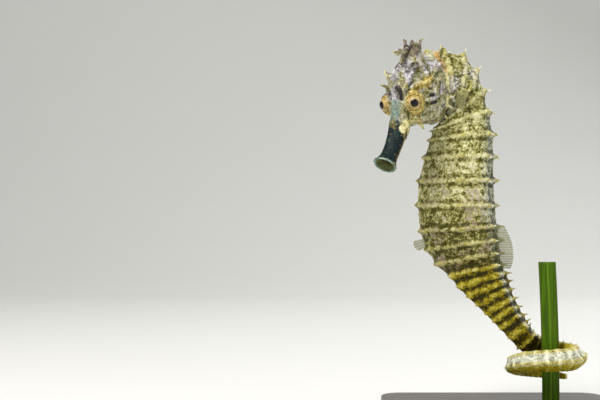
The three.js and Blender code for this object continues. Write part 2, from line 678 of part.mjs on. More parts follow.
// A slab with round corners and a small bevel, standing on the ground.
function baseGeometry() {
  const { length, breadth, height, corner, bevel } = BASE;
  const shape = new THREE.Shape();
  const x = length / 2 - corner;
  const y = breadth / 2 - corner;
  const round = corner - bevel;
  shape.moveTo(-x, -y - round);
  shape.lineTo(x, -y - round);
  shape.absarc(x, -y, round, -Math.PI / 2, 0);
  shape.absarc(x, y, round, 0, Math.PI / 2);
  shape.absarc(-x, y, round, Math.PI / 2, Math.PI);
  shape.absarc(-x, -y, round, Math.PI, 1.5 * Math.PI);
  const slab = new THREE.ExtrudeGeometry(shape, {
    depth: height - 2 * bevel,
    bevelThickness: bevel,
    bevelSize: bevel,
    bevelSegments: 1,
    curveSegments: 3,
  });
  return slab.translate(0, 0, bevel);
}

function rodGeometry() {
  const length = ROD.top - BASE.height - ROD.sink;
  const rod = new THREE.CylinderGeometry(ROD.radius, ROD.radius, length, ROD.sides);
  return rod.rotateX(Math.PI / 2).translate(...ROD.at, BASE.height + ROD.sink + length / 2);
}

// ---------------------------------------------------------------- materials and assembly

const finish = (color, roughness, metalness = 0) =>
  new THREE.MeshStandardMaterial({ color, roughness, metalness });
const skin = (color) => () => finish(color, 0.6);
const cream = skin(0xb9ab6a);
const straw = skin(0xa89a4e);
const ochre = skin(0x9a8530);
const slate = skin(0x66705c);
const finSkin = () => finish(0xb4b89a, 0.45);
const eyeSkin = () => finish(0xc89a3c, 0.25);

const part = new THREE.Group();
part.name = "seahorse";

function place(name, geometry, material) {
  const mesh = new THREE.Mesh(geometry, material);
  mesh.name = name;
  part.add(mesh);
}

// Lengths of the body: name, first and last ring, finish and the gap at the cuts.
const CUTS = [
  ["neck", 0, 4.5, cream, BENT_JOINT_GAP],
  ["trunk_upper", 4.5, 6.5, cream, JOINT_GAP],
  ["trunk_middle", 6.5, 8.5, cream, JOINT_GAP],
  ["trunk_lower", 8.5, 11.5, cream, JOINT_GAP],
  ["tail_base", 11.5, 14.5, straw, JOINT_GAP],
  ["tail_shank", 14.5, 19.5, straw, BENT_JOINT_GAP],
  ["tail_bend", 19.5, 22.5, straw, BENT_JOINT_GAP],
  ["tail_coil_back", 22.5, 25.5, straw, BENT_JOINT_GAP],
  ["tail_coil_right", 25.5, 28.5, straw, BENT_JOINT_GAP],
  ["tail_coil_front", 28.5, 32.5, straw, BENT_JOINT_GAP],
  ["tail_coil_left", 32.5, 36.5, ochre, BENT_JOINT_GAP],
  ["tail_end", 36.5, 41.5, ochre, BENT_JOINT_GAP],
  ["tail_tip", 41.5, LAST_RING, ochre, BENT_JOINT_GAP],
];
for (const [name, from, to, material, gap] of CUTS) place(name, bodyLength(from, to, gap), material());

place("head", headGeometry(), cream());
place("snout", loft(SNOUT_SECTIONS.map(headRing)).applyMatrix4(headPlace), slate());
place("coronet", coronetGeometry(), cream());
for (const side of ["left", "right"]) {
  place(`eye_${side}`, ball(eyeAt(side), EYE_RADIUS, EYE_FACETS).applyMatrix4(headPlace), eyeSkin());
  place(`pectoral_fin_${side}`, pectoralFin(side), finSkin());
}
place("dorsal_fin", medianFin(DORSAL_FIN, 1), finSkin());
place("anal_fin", medianFin(ANAL_FIN, -1), finSkin());

place("perch_blade", bladeGeometry(), finish(0x4f7d22, 0.5));
place("stand_rod", rodGeometry(), finish(0xb8bcc0, 0.3, 1));
place("stand_base", baseGeometry(), finish(0x2b2622, 0.4));

export default part;
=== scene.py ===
"""Dresses the seahorse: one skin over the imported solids, wet eyes, ribbed fins, a leaf blade and a plain stand."""

import json
import logging
import math
from dataclasses import dataclass, field
from enum import Enum
from typing import Callable, Iterable, Sequence, Union

import bmesh
import bpy
import numpy as np
from mathutils import Matrix, Quaternion, Vector, kdtree, noise

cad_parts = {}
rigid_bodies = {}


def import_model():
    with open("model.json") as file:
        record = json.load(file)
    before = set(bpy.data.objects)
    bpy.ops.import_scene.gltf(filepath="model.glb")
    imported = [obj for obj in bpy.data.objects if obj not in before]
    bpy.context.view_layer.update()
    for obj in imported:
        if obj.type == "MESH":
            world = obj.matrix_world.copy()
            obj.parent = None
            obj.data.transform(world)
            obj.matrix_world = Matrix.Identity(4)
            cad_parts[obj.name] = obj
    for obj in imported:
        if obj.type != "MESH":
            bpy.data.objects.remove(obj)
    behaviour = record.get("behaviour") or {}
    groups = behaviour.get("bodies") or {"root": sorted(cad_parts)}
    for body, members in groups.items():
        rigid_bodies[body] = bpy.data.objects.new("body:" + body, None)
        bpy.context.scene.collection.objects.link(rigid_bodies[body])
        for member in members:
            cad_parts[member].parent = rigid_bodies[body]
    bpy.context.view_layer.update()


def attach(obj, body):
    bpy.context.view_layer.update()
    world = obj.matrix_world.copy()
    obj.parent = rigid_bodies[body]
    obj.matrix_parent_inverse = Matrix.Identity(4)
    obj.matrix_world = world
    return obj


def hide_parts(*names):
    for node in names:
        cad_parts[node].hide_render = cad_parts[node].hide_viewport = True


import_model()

MM = 0.001
LOG = logging.getLogger("seahorse")

Colour = tuple[float, float, float]
Number = Union[float, "Wire"]


# ---------------------------------------------------------------- node graphs


class Wire:
    """One output socket of a node tree, with arithmetic that adds Math nodes."""

    def __init__(self, graph: "Graph", socket: bpy.types.NodeSocket) -> None:
        """Keeps the socket and the graph that new nodes go into.

        Args:
            graph: the graph that holds the socket.
            socket: the output socket.
        """
        self.graph = graph
        self.socket = socket

    def _math(self, operation: str, first: Number, second: Number = 0.0) -> "Wire":
        """One Math node on two values."""
        return self.graph.add("ShaderNodeMath", {"operation": operation}, {0: first, 1: second})

    def __add__(self, other: Number) -> "Wire":
        """Sum."""
        return self._math("ADD", self, other)

    __radd__ = __add__

    def __mul__(self, other: Number) -> "Wire":
        """Product."""
        return self._math("MULTIPLY", self, other)

    __rmul__ = __mul__

    def __sub__(self, other: Number) -> "Wire":
        """Difference."""
        return self._math("SUBTRACT", self, other)

    def __rsub__(self, other: Number) -> "Wire":
        """Difference with the value first."""
        return self._math("SUBTRACT", other, self)

    def __truediv__(self, other: Number) -> "Wire":
        """Quotient."""
        return self._math("DIVIDE", self, other)

    def __pow__(self, other: Number) -> "Wire":
        """Power."""
        return self._math("POWER", self, other)

    def absolute(self) -> "Wire":
        """Size without the sign."""
        return self._math("ABSOLUTE", self)

    def sine(self) -> "Wire":
        """Sine of the value in radians."""
        return self._math("SINE", self)

    def least(self, other: Number) -> "Wire":
        """The smaller of two values."""
        return self._math("MINIMUM", self, other)

    def most(self, other: Number) -> "Wire":
        """The larger of two values."""
        return self._math("MAXIMUM", self, other)

    def step(self, low: float, high: float) -> "Wire":
        """Smooth step between two limits; the limits may run either way.

        Args:
            low: the value that gives 0.
            high: the value that gives 1.

        Returns:
            A wire from 0 to 1.
        """
        settings = {"interpolation_type": "SMOOTHSTEP", "clamp": True}
        if low < high:
            return self.graph.add("ShaderNodeMapRange", settings, {0: self, 1: low, 2: high, 3: 0.0, 4: 1.0})
        return self.graph.add("ShaderNodeMapRange", settings, {0: self, 1: high, 2: low, 3: 1.0, 4: 0.0})


class Graph:
    """Adds nodes to one node tree."""

    def __init__(self, tree: bpy.types.NodeTree) -> None:
        """Empties the tree.

        Args:
            tree: a material's or a modifier's node tree.
        """
        self.tree = tree
        tree.nodes.clear()

    def add(
        self,
        kind: str,
        settings: dict[str, object] | None = None,
        inputs: dict[int | str, object] | None = None,
        output: int | str = 0,
    ) -> Wire:
        """Adds one node, sets it and links it.

        Args:
            kind: the node's type.
            settings: its properties, set first; "stops" fills a colour ramp.
            inputs: values or wires by socket name or number.
            output: which output to return.

        Returns:
            The chosen output as a wire.
        """
        node = self.tree.nodes.new(kind)
        for name, value in (settings or {}).items():
            if name == "stops":
                self._fill_ramp(node, value)
            else:
                setattr(node, name, value)
        for key, value in (inputs or {}).items():
            socket = node.inputs[key]
            if isinstance(value, Wire):
                self.tree.links.new(value.socket, socket)
            elif isinstance(value, tuple) and len(value) == 3 and socket.type == "RGBA":
                socket.default_value = (*value, 1.0)
            else:
                socket.default_value = value
        return Wire(self, node.outputs[output]) if len(node.outputs) else Wire(self, None)

    @staticmethod
    def _fill_ramp(node: bpy.types.Node, stops: Sequence[tuple[float, Colour]]) -> None:
        """Sets the stops of a colour ramp."""
        ramp = node.color_ramp
        while len(ramp.elements) < len(stops):
            ramp.elements.new(0.5)
        for element, (place, colour) in zip(ramp.elements, stops):
            element.position = place
            element.color = (*colour, 1.0)

    def attribute(self, name: str, output: str = "Fac") -> Wire:
        """A mesh attribute."""
        return self.add("ShaderNodeAttribute", {"attribute_name": name}, {}, output)

    def place(self) -> Wire:
        """Object coordinates."""
        return self.add("ShaderNodeTexCoord", output="Object")

    def noise(self, vector: Wire, scale: float, detail: float = 3.0, rough: float = 0.55) -> Wire:
        """Noise from 0 to 1 at a scale per metre."""
        inputs = {"Vector": vector, "Scale": scale, "Detail": detail, "Roughness": rough}
        return self.add("ShaderNodeTexNoise", {}, inputs, "Fac")

    def cells(self, vector: Wire, scale: float, randomness: float = 1.0, feature: str = "F1") -> Wire:
        """Distance to the nearest random point, in cells."""
        inputs = {"Vector": vector, "Scale": scale, "Randomness": randomness}
        return self.add("ShaderNodeTexVoronoi", {"feature": feature}, inputs, "Distance")

    def blend(self, share: Number, first: object, second: object, mode: str = "MIX") -> Wire:
        """Mixes two colours."""
        settings = {"data_type": "RGBA", "blend_type": mode, "clamp_factor": True}
        return self.add("ShaderNodeMix", settings, {0: share, 6: first, 7: second}, 2)

    def stretched(self, vector: Wire, scale: Colour) -> Wire:
        """A vector scaled along its axes."""
        return self.add("ShaderNodeVectorMath", {"operation": "MULTIPLY"}, {0: vector, 1: scale})

    def bump(self, height: Wire, distance: float, strength: float = 1.0) -> Wire:
        """A Bump node's normal."""
        return self.add("ShaderNodeBump", {}, {"Strength": strength, "Distance": distance, "Height": height})


def new_material(name: str) -> tuple[bpy.types.Material, Graph]:
    """An empty material with nodes.

    Args:
        name: the material's name.

    Returns:
        The material and its graph.
    """
    material = bpy.data.materials.new(name)
    material.use_nodes = True
    return material, Graph(material.node_tree)


def surface(graph: Graph, inputs: dict[str, object]) -> None:
    """Ends a material in one Principled shader.

    Args:
        graph: the material's graph.
        inputs: values or wires of the shader's sockets.
    """
    shader = graph.add("ShaderNodeBsdfPrincipled", {}, inputs)
    graph.add("ShaderNodeOutputMaterial", {}, {"Surface": shader})


# ---------------------------------------------------------------- meshes


def unit(vector: np.ndarray) -> np.ndarray:
    """A vector or rows of vectors at length 1."""
    return vector / np.maximum(np.linalg.norm(vector, axis=-1, keepdims=True), 1e-9)


def hermite(knots: Sequence[float], values: np.ndarray, places: np.ndarray) -> np.ndarray:
    """Smooth values through the knots, with slopes from the neighbours.

    Args:
        knots: rising places of the values.
        values: one row for each knot.
        places: where to read.

    Returns:
        One row for each place.
    """
    knots = np.asarray(knots, float)
    values = np.asarray(values, float).reshape(len(knots), -1)
    last = len(knots) - 1
    below = np.clip(np.arange(last + 1) - 1, 0, last)
    above = np.clip(np.arange(last + 1) + 1, 0, last)
    slopes = (values[above] - values[below]) / (knots[above] - knots[below])[:, None]
    i = np.clip(np.searchsorted(knots, places, side="left") - 1, 0, last - 1)
    run = (knots[i + 1] - knots[i])[:, None]
    t = ((places - knots[i])[:, None]) / run
    t2, t3 = t * t, t * t * t
    return (
        (2 * t3 - 3 * t2 + 1) * values[i]
        + (t3 - 2 * t2 + t) * run * slopes[i]
        + (3 * t2 - 2 * t3) * values[i + 1]
        + (t3 - t2) * run * slopes[i + 1]
    )


def new_object(name: str, mesh: bpy.types.Mesh) -> bpy.types.Object:
    """Links a new object that holds a mesh."""
    thing = bpy.data.objects.new(name, mesh)
    bpy.context.scene.collection.objects.link(thing)
    return thing


def grid_mesh(name: str, rings: np.ndarray, closed: bool = True) -> bpy.types.Mesh:
    """A skin of quads over rings of points in millimetres, with a fan over each end.

    Args:
        name: the mesh's name.
        rings: points as (ring, point, 3).
        closed: whether each ring is a loop, with its ends capped.

    Returns:
        The mesh, in metres, its faces outward when closed.
    """
    count, around = rings.shape[:2]
    points = [tuple(p) for p in (rings.reshape(-1, 3) * MM)]
    faces: list[tuple[int, ...]] = []
    last = around if closed else around - 1
    for r in range(count - 1):
        for i in range(last):
            a, b = r * around + i, r * around + (i + 1) % around
            faces.append((a, b, b + around, a + around))
    if closed:
        for ring, turn in ((0, False), (count - 1, True)):
            middle = len(points)
            points.append(tuple(rings[ring].mean(axis=0) * MM))
            for i in range(around):
                a, b = ring * around + i, ring * around + (i + 1) % around
                faces.append((middle, a, b) if turn else (middle, b, a))
    mesh = bpy.data.meshes.new(name)
    mesh.from_pydata(points, [], faces)
    if closed:
        face_outward(mesh)
    mesh.shade_smooth()
    return mesh


def face_outward(mesh: bpy.types.Mesh) -> None:
    """Turns a closed mesh's faces outward."""
    work = bmesh.new()
    work.from_mesh(mesh)
    bmesh.ops.recalc_face_normals(work, faces=work.faces)
    work.to_mesh(mesh)
    work.free()
    mesh.update()


def tube(points: Sequence[Sequence[float]], radii: Sequence[float], sides: int = 10, steps: int = 0) -> np.ndarray:
    """Rings round a path of points.

    Args:
        points: the path.
        radii: the radius at each point.
        sides: points round each ring.
        steps: if over 0, the path is first smoothed to that many stretches.

    Returns:
        Points as (ring, point, 3).
    """
    path, size = np.asarray(points, float), np.asarray(radii, float)
    if steps:
        knots = np.arange(len(path), dtype=float)
        places = np.linspace(0, len(path) - 1, steps + 1)
        path = hermite(knots, path, places)
        size = hermite(knots, size, places)[:, 0]
    along = unit(np.gradient(path, axis=0))
    hint = np.array([0.0, 0.0, 1.0]) if abs(along[0][2]) < 0.9 else np.array([1.0, 0.0, 0.0])
    rings = []
    for at, ahead, radius in zip(path, along, size):
        side = unit(np.cross(ahead, hint))
        up = np.cross(side, ahead)
        hint = up
        angle = np.linspace(0, 2 * math.pi, sides, endpoint=False)[:, None]
        rings.append(at + radius * (np.cos(angle) * side + np.sin(angle) * up))
    return np.array(rings)


def round_tip(rings: np.ndarray, radius: float) -> np.ndarray:
    """Adds a small dome to the last ring of a tube."""
    last, before = rings[-1], rings[-2]
    middle = last.mean(axis=0)
    ahead = unit(middle - before.mean(axis=0))
    domes = [
        middle + ahead * radius * math.sin(a) + (last - middle) * math.cos(a)
        for a in (0.6, 1.1)
    ]
    return np.concatenate([rings, np.array(domes)])


def ball_rings(at: Sequence[float], radii: Sequence[float], axis: Sequence[float], steps: int = 24) -> np.ndarray:
    """Rings of an egg about an axis.

    Args:
        at: the middle.
        radii: across and along the axis.
        axis: the direction of the poles.
        steps: rings from pole to pole.

    Returns:
        Points as (ring, point, 3).
    """
    ahead = unit(np.asarray(axis, float))
    side = unit(np.cross(ahead, [0.0, 0.0, 1.0]))
    up = np.cross(side, ahead)
    rings = []
    for polar in np.linspace(0.06, math.pi - 0.06, steps):
        angle = np.linspace(0, 2 * math.pi, 2 * steps, endpoint=False)[:, None]
        flat = np.cos(angle) * side + np.sin(angle) * up
        rings.append(np.asarray(at) + radii[0] * math.sin(polar) * flat + radii[1] * math.cos(polar) * ahead)
    return np.array(rings)


def joined_object(name: str, meshes: Iterable[bpy.types.Mesh]) -> bpy.types.Object:
    """One object from several meshes, which are removed."""
    work = bmesh.new()
    for mesh in meshes:
        work.from_mesh(mesh)
        bpy.data.meshes.remove(mesh)
    mesh = bpy.data.meshes.new(name)
    work.to_mesh(mesh)
    work.free()
    return new_object(name, mesh)


def evaluated(thing: bpy.types.Object) -> None:
    """Replaces an object's mesh by what its modifiers make, and removes them."""
    graph = bpy.context.evaluated_depsgraph_get()
    mesh = bpy.data.meshes.new_from_object(thing.evaluated_get(graph))
    old = thing.data
    thing.modifiers.clear()
    thing.data = mesh
    bpy.data.meshes.remove(old)


def boolean(thing: bpy.types.Object, tool: bpy.types.Object, operation: str) -> None:
    """Joins or cuts one object by another, which is removed.

    Args:
        thing: the object that changes.
        tool: the other.
        operation: UNION or DIFFERENCE.
    """
    modifier = thing.modifiers.new("cut", "BOOLEAN")
    modifier.operation = operation
    modifier.solver = "MANIFOLD"
    modifier.object = tool
    evaluated(thing)
    bpy.data.objects.remove(tool)


def vertex_array(mesh: bpy.types.Mesh) -> np.ndarray:
    """Vertices of a mesh in millimetres."""
    flat = np.zeros(len(mesh.vertices) * 3, np.float32)
    mesh.vertices.foreach_get("co", flat)
    return flat.reshape(-1, 3).astype(float) / MM


def set_vertices(mesh: bpy.types.Mesh, points: np.ndarray) -> None:
    """Writes vertices in millimetres back to a mesh."""
    mesh.vertices.foreach_set("co", (points * MM).astype(np.float32).ravel())
    mesh.update()


def normal_array(mesh: bpy.types.Mesh) -> np.ndarray:
    """Vertex normals of a mesh."""
    flat = np.zeros(len(mesh.vertices) * 3, np.float32)
    mesh.vertex_normals.foreach_get("vector", flat)
    return flat.reshape(-1, 3).astype(float)


def store(mesh: bpy.types.Mesh, name: str, values: np.ndarray) -> None:
    """Stores one number for each vertex as an attribute."""
    attribute = mesh.attributes.new(name, "FLOAT", "POINT")
    attribute.data.foreach_set("value", values.astype(np.float32).ravel())


def store_vector(mesh: bpy.types.Mesh, name: str, values: np.ndarray) -> None:
    """Stores one vector for each vertex as an attribute."""
    attribute = mesh.attributes.new(name, "FLOAT_VECTOR", "POINT")
    attribute.data.foreach_set("vector", values.astype(np.float32).ravel())


def finish_piece(thing: bpy.types.Object, slot: str, material: bpy.types.Material | None, *nodes: str) -> None:
    """Dresses a piece, hangs it on the root body and hides the CAD nodes that it stands for.

    Args:
        thing: the piece.
        slot: the record's material slot; not used.
        material: its finish, or None to keep what it has.
        nodes: the CAD nodes that it stands for.
    """
    if material is not None:
        thing.data.materials.clear()
        thing.data.materials.append(material)
    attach(thing, "root")
    if nodes:
        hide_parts(*nodes)


# ---------------------------------------------------------------- the body's run


class Side(Enum):
    """The animal's two sides."""

    LEFT = 1
    RIGHT = -1


@dataclass
class BodyRun:
    """The run of the body from the back of the head to the tip of the tail, in rings.

    Each station of the trunk has its ring, middle, rise and turn of the dorsal side, half depth and half width.
    """

    stations: tuple = (
        (0, (-17.1, -1.2, 87.6), 90, -50, 9.7, 5.1),
        (1, (-13.3, -0.7, 87.0), 75, -36, 9.2, 5.4),
        (2, (-11.4, -0.3, 84.6), 56, -18, 8.5, 5.7),
        (3, (-10.6, 0, 81.6), 36, 0, 8.1, 6.0),
        (4, (-10.3, 0, 78.4), 17, 13, 8.2, 6.2),
        (5, (-10.3, 0, 74.3), 4, 20, 8.8, 6.4),
        (6, (-11.0, 0, 69.2), 0, 24, 9.7, 6.6),
        (7, (-11.7, 0, 63.0), 0, 24, 10.6, 6.8),
        (8, (-11.7, 0, 56.6), 0, 24, 10.9, 6.8),
        (9, (-11.0, 0, 50.5), 4, 24, 10.9, 6.6),
        (10, (-9.9, 0, 46.3), 8, 24, 10.3, 6.1),
        (11, (-8.5, 0, 42.7), 11, 24, 9.1, 5.5),
        (12, (-6.6, 0, 39.6), 14, 24, 7.5, 4.7),
        (13, (-4.8, 0, 37.2), 18, 24, 6.5, 4.1),
        (14, (-3.2, 0.1, 34.9), 23, 24, 5.6, 3.7),
        (15, (-1.6, 0.2, 32.7), 28, 24, 4.8, 3.4),
        (16.2, (0.3, 0.4, 30.0), 33, 24, 4.0, 3.2),
        (17.4, (2.2, 0.7, 27.5), 36, 24, 3.5, 3.1),
        (18.6, (4.1, 1.2, 25.0), 37, 24, 3.1, 3.0),
    )
    bend: tuple = (
        (19.8, (6.1, 2.4, 22.6), (0.62, -0.3, 0.72), 2.9),
        (21.1, (8.6, 4.9, 20.3), (0.4, -0.2, 0.9), 2.85),
    )
    coil_middle: tuple = (11.5, 0.0)
    coil_radii: tuple = (7.9, 7.4)
    coil: tuple = (
        (78, 18.4, 76, 2.7),
        (45, 17.7, 66, 2.62),
        (0, 17.3, 50, 2.55),
        (-45, 17.2, 34, 2.5),
        (-90, 17.1, 28, 2.42),
        (-135, 16.5, 24, 2.25),
        (-180, 15.1, 18, 2.0),
        (-225, 13.5, 12, 1.65),
        (-270, 12.4, 8, 1.25),
        (-300, 11.9, 6, 0.95),
        (-325, 11.6, 5, 0.6),
    )
    ring_spacing: tuple = (0.9, 0.66)
    knots: list = field(default_factory=list)
    rows: list = field(default_factory=list)
    turns: list = field(default_factory=list)

    def __post_init__(self) -> None:
        """Works out the knots, the rows of numbers and the turns of all stations."""
        raw = [(ring, at, self._level_frame(rise, turn), depth, width)
               for ring, at, rise, turn, depth, width in self.stations]
        raw += [(ring, at, hint, half, half) for ring, at, hint, half in self.bend]
        ring, before = self.bend[-1][0], Vector(self.bend[-1][1])
        for angle, height, roll, half in self.coil:
            a, r = math.radians(angle), math.radians(roll)
            outward = Vector((math.cos(a), math.sin(a), 0))
            at = Vector((self.coil_middle[0] + self.coil_radii[0] * outward.x,
                         self.coil_middle[1] + self.coil_radii[1] * outward.y, height))
            ring += (at - before).length / (self.ring_spacing[0] + self.ring_spacing[1] * half)
            before = at
            raw.append((ring, tuple(at), tuple(outward * math.cos(r) + Vector((0, 0, math.sin(r)))), half, half))
        for i, (ring, at, frame_or_hint, depth, width) in enumerate(raw):
            turn = frame_or_hint
            if isinstance(frame_or_hint, tuple):
                tailward = (Vector(raw[min(len(raw) - 1, i + 1)][1]) - Vector(raw[i - 1][1])).normalized()
                hint = Vector(frame_or_hint)
                dorsal = (hint - tailward * hint.dot(tailward)).normalized()
                turn = self._basis(dorsal, tailward.cross(dorsal), tailward)
            self.knots.append(ring)
            self.rows.append((*at, depth, width))
            self.turns.append(turn)

    @staticmethod
    def _basis(dorsal: Vector, left: Vector, tailward: Vector) -> Quaternion:
        """The turn of a section from its three directions."""
        return Matrix((dorsal, left, tailward)).transposed().to_quaternion()

    def _level_frame(self, rise: float, turn: float) -> Quaternion:
        """The turn of a section from the rise and turn of its dorsal side."""
        r, t = math.radians(rise), math.radians(turn)
        left = Vector((-math.sin(t), -math.cos(t), 0))
        dorsal = Vector((math.cos(t) * math.cos(r), -math.sin(t) * math.cos(r), math.sin(r)))
        return self._basis(dorsal, left, dorsal.cross(left))

    @property
    def last(self) -> float:
        """The ring at the tip of the tail."""
        return self.knots[-1]

    def middle(self, rings: np.ndarray) -> np.ndarray:
        """Rows of position, half depth and half width at some rings."""
        return hermite(self.knots, np.array(self.rows), np.atleast_1d(np.asarray(rings, float)))

    def axes(self, ring: float) -> np.ndarray:
        """Dorsal, left and tailward directions at one ring, as rows."""
        i = int(np.clip(np.searchsorted(self.knots, ring, side="left") - 1, 0, len(self.knots) - 2))
        share = (ring - self.knots[i]) / (self.knots[i + 1] - self.knots[i])
        turn = self.turns[i].slerp(self.turns[i + 1], min(1.0, max(0.0, share)))
        return np.array(turn.to_matrix()).T

    def speed(self, rings: np.ndarray) -> np.ndarray:
        """Millimetres along the middle line for each ring."""
        step = 0.05
        high = self.middle(np.minimum(rings + step, self.last))[:, :3]
        low = self.middle(np.maximum(rings - step, self.knots[0]))[:, :3]
        return np.linalg.norm(high - low, axis=1) / (2 * step)


@dataclass
class RingedSkin:
    """The bony rings and ridges of the trunk and tail as one fine closed surface."""

    run: BodyRun
    trunk: tuple = ((0.88, 0), (0.93, 0.52), (0.68, 0.83), (0.3, 1), (-0.22, 0.91), (-0.72, 0.56), (-1, 0))
    tail: tuple = ((0.9, 0), (0.96, 0.96), (0.5, 0.96), (0, 0.93), (-0.5, 0.96), (-0.96, 0.96), (-0.9, 0))
    coil: tuple = ((1.03, 0), (1.03, 0.70), (0.68, 1.05), (0, 1.05), (-0.68, 1.05), (-1.03, 0.70), (-1.03, 0))
    trunk_spines: tuple = (0, 1.35, 0, 0.9, 0, 0.7, 0.5)
    tail_spines: tuple = (0, 1.1, 0, 0, 0, 0.25, 0)
    tail_ridges: tuple = (0, 1, 0, 0.1, 0, 0.35, 0)
    trunk_ends: float = 11.0
    tail_starts: float = 13.5
    crest: float = 0.17
    valley: float = -0.36
    coil_calm: float = 0.78
    neck_calm: float = 0.45
    tail_calm: float = 0.65
    boss: float = 0.24
    nape: float = 0.6
    hanging: float = 0.9
    wobble: float = 0.16
    knob: float = 0.13
    per_edge: int = 9
    step: float = 0.34
    least_steps: int = 7
    start: float = -0.35
    spine_foot_share: float = 0.34
    seed: int = 5

    def tail_share(self, rings: np.ndarray) -> np.ndarray:
        """How square the section is: 0 on the trunk, 1 on the tail."""
        t = np.clip((rings - self.trunk_ends) / (self.tail_starts - self.trunk_ends), 0, 1)
        return t * t * (3 - 2 * t)

    def corners(self, ring: float) -> np.ndarray:
        """The corners of one side, as shares of depth and width."""
        share, coiled = float(self.tail_share(np.array([ring]))[0]), float(np.clip((ring - 18.0) / 2.5, 0, 1))
        straight = np.array(self.trunk) * (1 - share) + np.array(self.tail) * share
        return straight * (1 - coiled) + np.array(self.coil) * coiled

    def spine_lengths(self, ring: float) -> np.ndarray:
        """Length of the spine on each of the seven corners of one side."""
        share = float(self.tail_share(np.array([ring]))[0])
        full = np.array(self.trunk_spines) * (1 - share) + np.array(self.tail_spines) * share
        full[1] *= 1 + self.nape * np.clip((3.6 - ring) / 1.2, 0, 1)
        full[5] += self.hanging * np.clip((ring - 19) / 2, 0, 1)
        coiled = 1 - 0.6 * np.clip((ring - 19) / 3, 0, 1)
        half = float(self.run.middle(ring)[0, 4])
        return full * coiled * min(1.0, half / 2.4)

    def places(self) -> np.ndarray:
        """The rings where sections stand, close enough to show each crest."""
        found = [self.start]
        while found[-1] < self.run.last - 1e-6:
            length = float(self.run.speed(np.array([max(0.0, found[-1])]))[0])
            count = max(self.least_steps, round(length / self.step))
            found.append(min(self.run.last, found[-1] + 1 / count))
        return np.array(found)

    def outline(self, ring: float) -> tuple[np.ndarray, np.ndarray, np.ndarray]:
        """The section's corners joined by finer points, as shares of depth and width.

        Args:
            ring: the place along the body.

        Returns:
            Points (N, 2), each point's nearest corner number, and its share of the way to it.
        """
        half = self.corners(ring)
        other = half[1:-1][::-1] * np.array([1, -1])
        corners = np.concatenate([half, other])
        numbers = [0, 1, 2, 3, 4, 5, 6, 5, 4, 3, 2, 1]
        points, nearest, away = [], [], []
        for k in range(12):
            a, b = corners[k], corners[(k + 1) % 12]
            for i in range(self.per_edge):
                t = i / self.per_edge
                points.append(a + (b - a) * t)
                nearest.append(numbers[k] if t <= 0.5 else numbers[(k + 1) % 12])
                away.append(min(t, 1 - t))
        return np.array(points), np.array(nearest), np.array(away)

    @staticmethod
    def soften(flat: np.ndarray, share: float) -> np.ndarray:
        """Rounds a section's corners, more so on the tail."""
        keen = flat
        for _ in range(4):
            keen = 0.5 * keen + 0.25 * (np.roll(keen, 1, axis=0) + np.roll(keen, -1, axis=0))
        soft = keen
        for _ in range(20):
            soft = 0.5 * soft + 0.25 * (np.roll(soft, 1, axis=0) + np.roll(soft, -1, axis=0))
        return keen + (soft - keen) * (0.15 + 0.6 * share)

    def ripple(self, ring: int, angle: np.ndarray, waves: Sequence[int]) -> np.ndarray:
        """An uneven wave round one crest, its own for each ring, from -1 to 1."""
        phases = np.random.default_rng(self.seed + 17 * max(0, ring)).uniform(0, 2 * math.pi, len(waves))
        return sum(np.sin(wave * angle + phase) for wave, phase in zip(waves, phases)) / len(waves)

    def relief(self, ring: float, speed: float, size: float, angle: np.ndarray) -> dict[str, np.ndarray]:
        """Heights and shares of the crest, the groove under it and the finer lines.

        Args:
            ring: the place along the body.
            speed: millimetres for each ring.
            size: 1 on the thick trunk, less on the thin tail.
            angle: the angle of each point round the section.

        Returns:
            The height, the crest's share and the groove's share for each point.
        """
        number = int(round(ring))
        wander = self.wobble * size * self.ripple(number, angle, (3, 7, 12))
        along = (ring - number) * speed + wander
        wide = 0.24 + 0.4 * size
        rise = np.exp(-((along / wide) ** 2))
        calm = 1 - self.coil_calm * np.clip((ring - 19) / 3, 0, 1) - self.neck_calm * np.clip((3.2 - ring) / 1.6, 0, 1)
        calm = calm * (1 - self.tail_calm * float(self.tail_share(np.array([ring]))[0]) * np.clip(20 - ring, 0, 1))
        knobs = self.knob * (0.5 + self.ripple(number + 100, angle, (21, 26, 34))) * rise
        phase = 3 * (ring - number) * 2 * math.pi
        lines = 0.055 * math.cos(phase) * (1 - rise)
        height = (self.valley + (self.crest - self.valley) * rise + knobs + lines) * size * calm
        # the groove's share later darkens the skin's colour as a painted shadow under the crest
        under = np.exp(-(((np.abs(along) - 1.7 * wide) / (0.8 * wide)) ** 2))
        return {"height": height, "crest": rise, "groove": under}

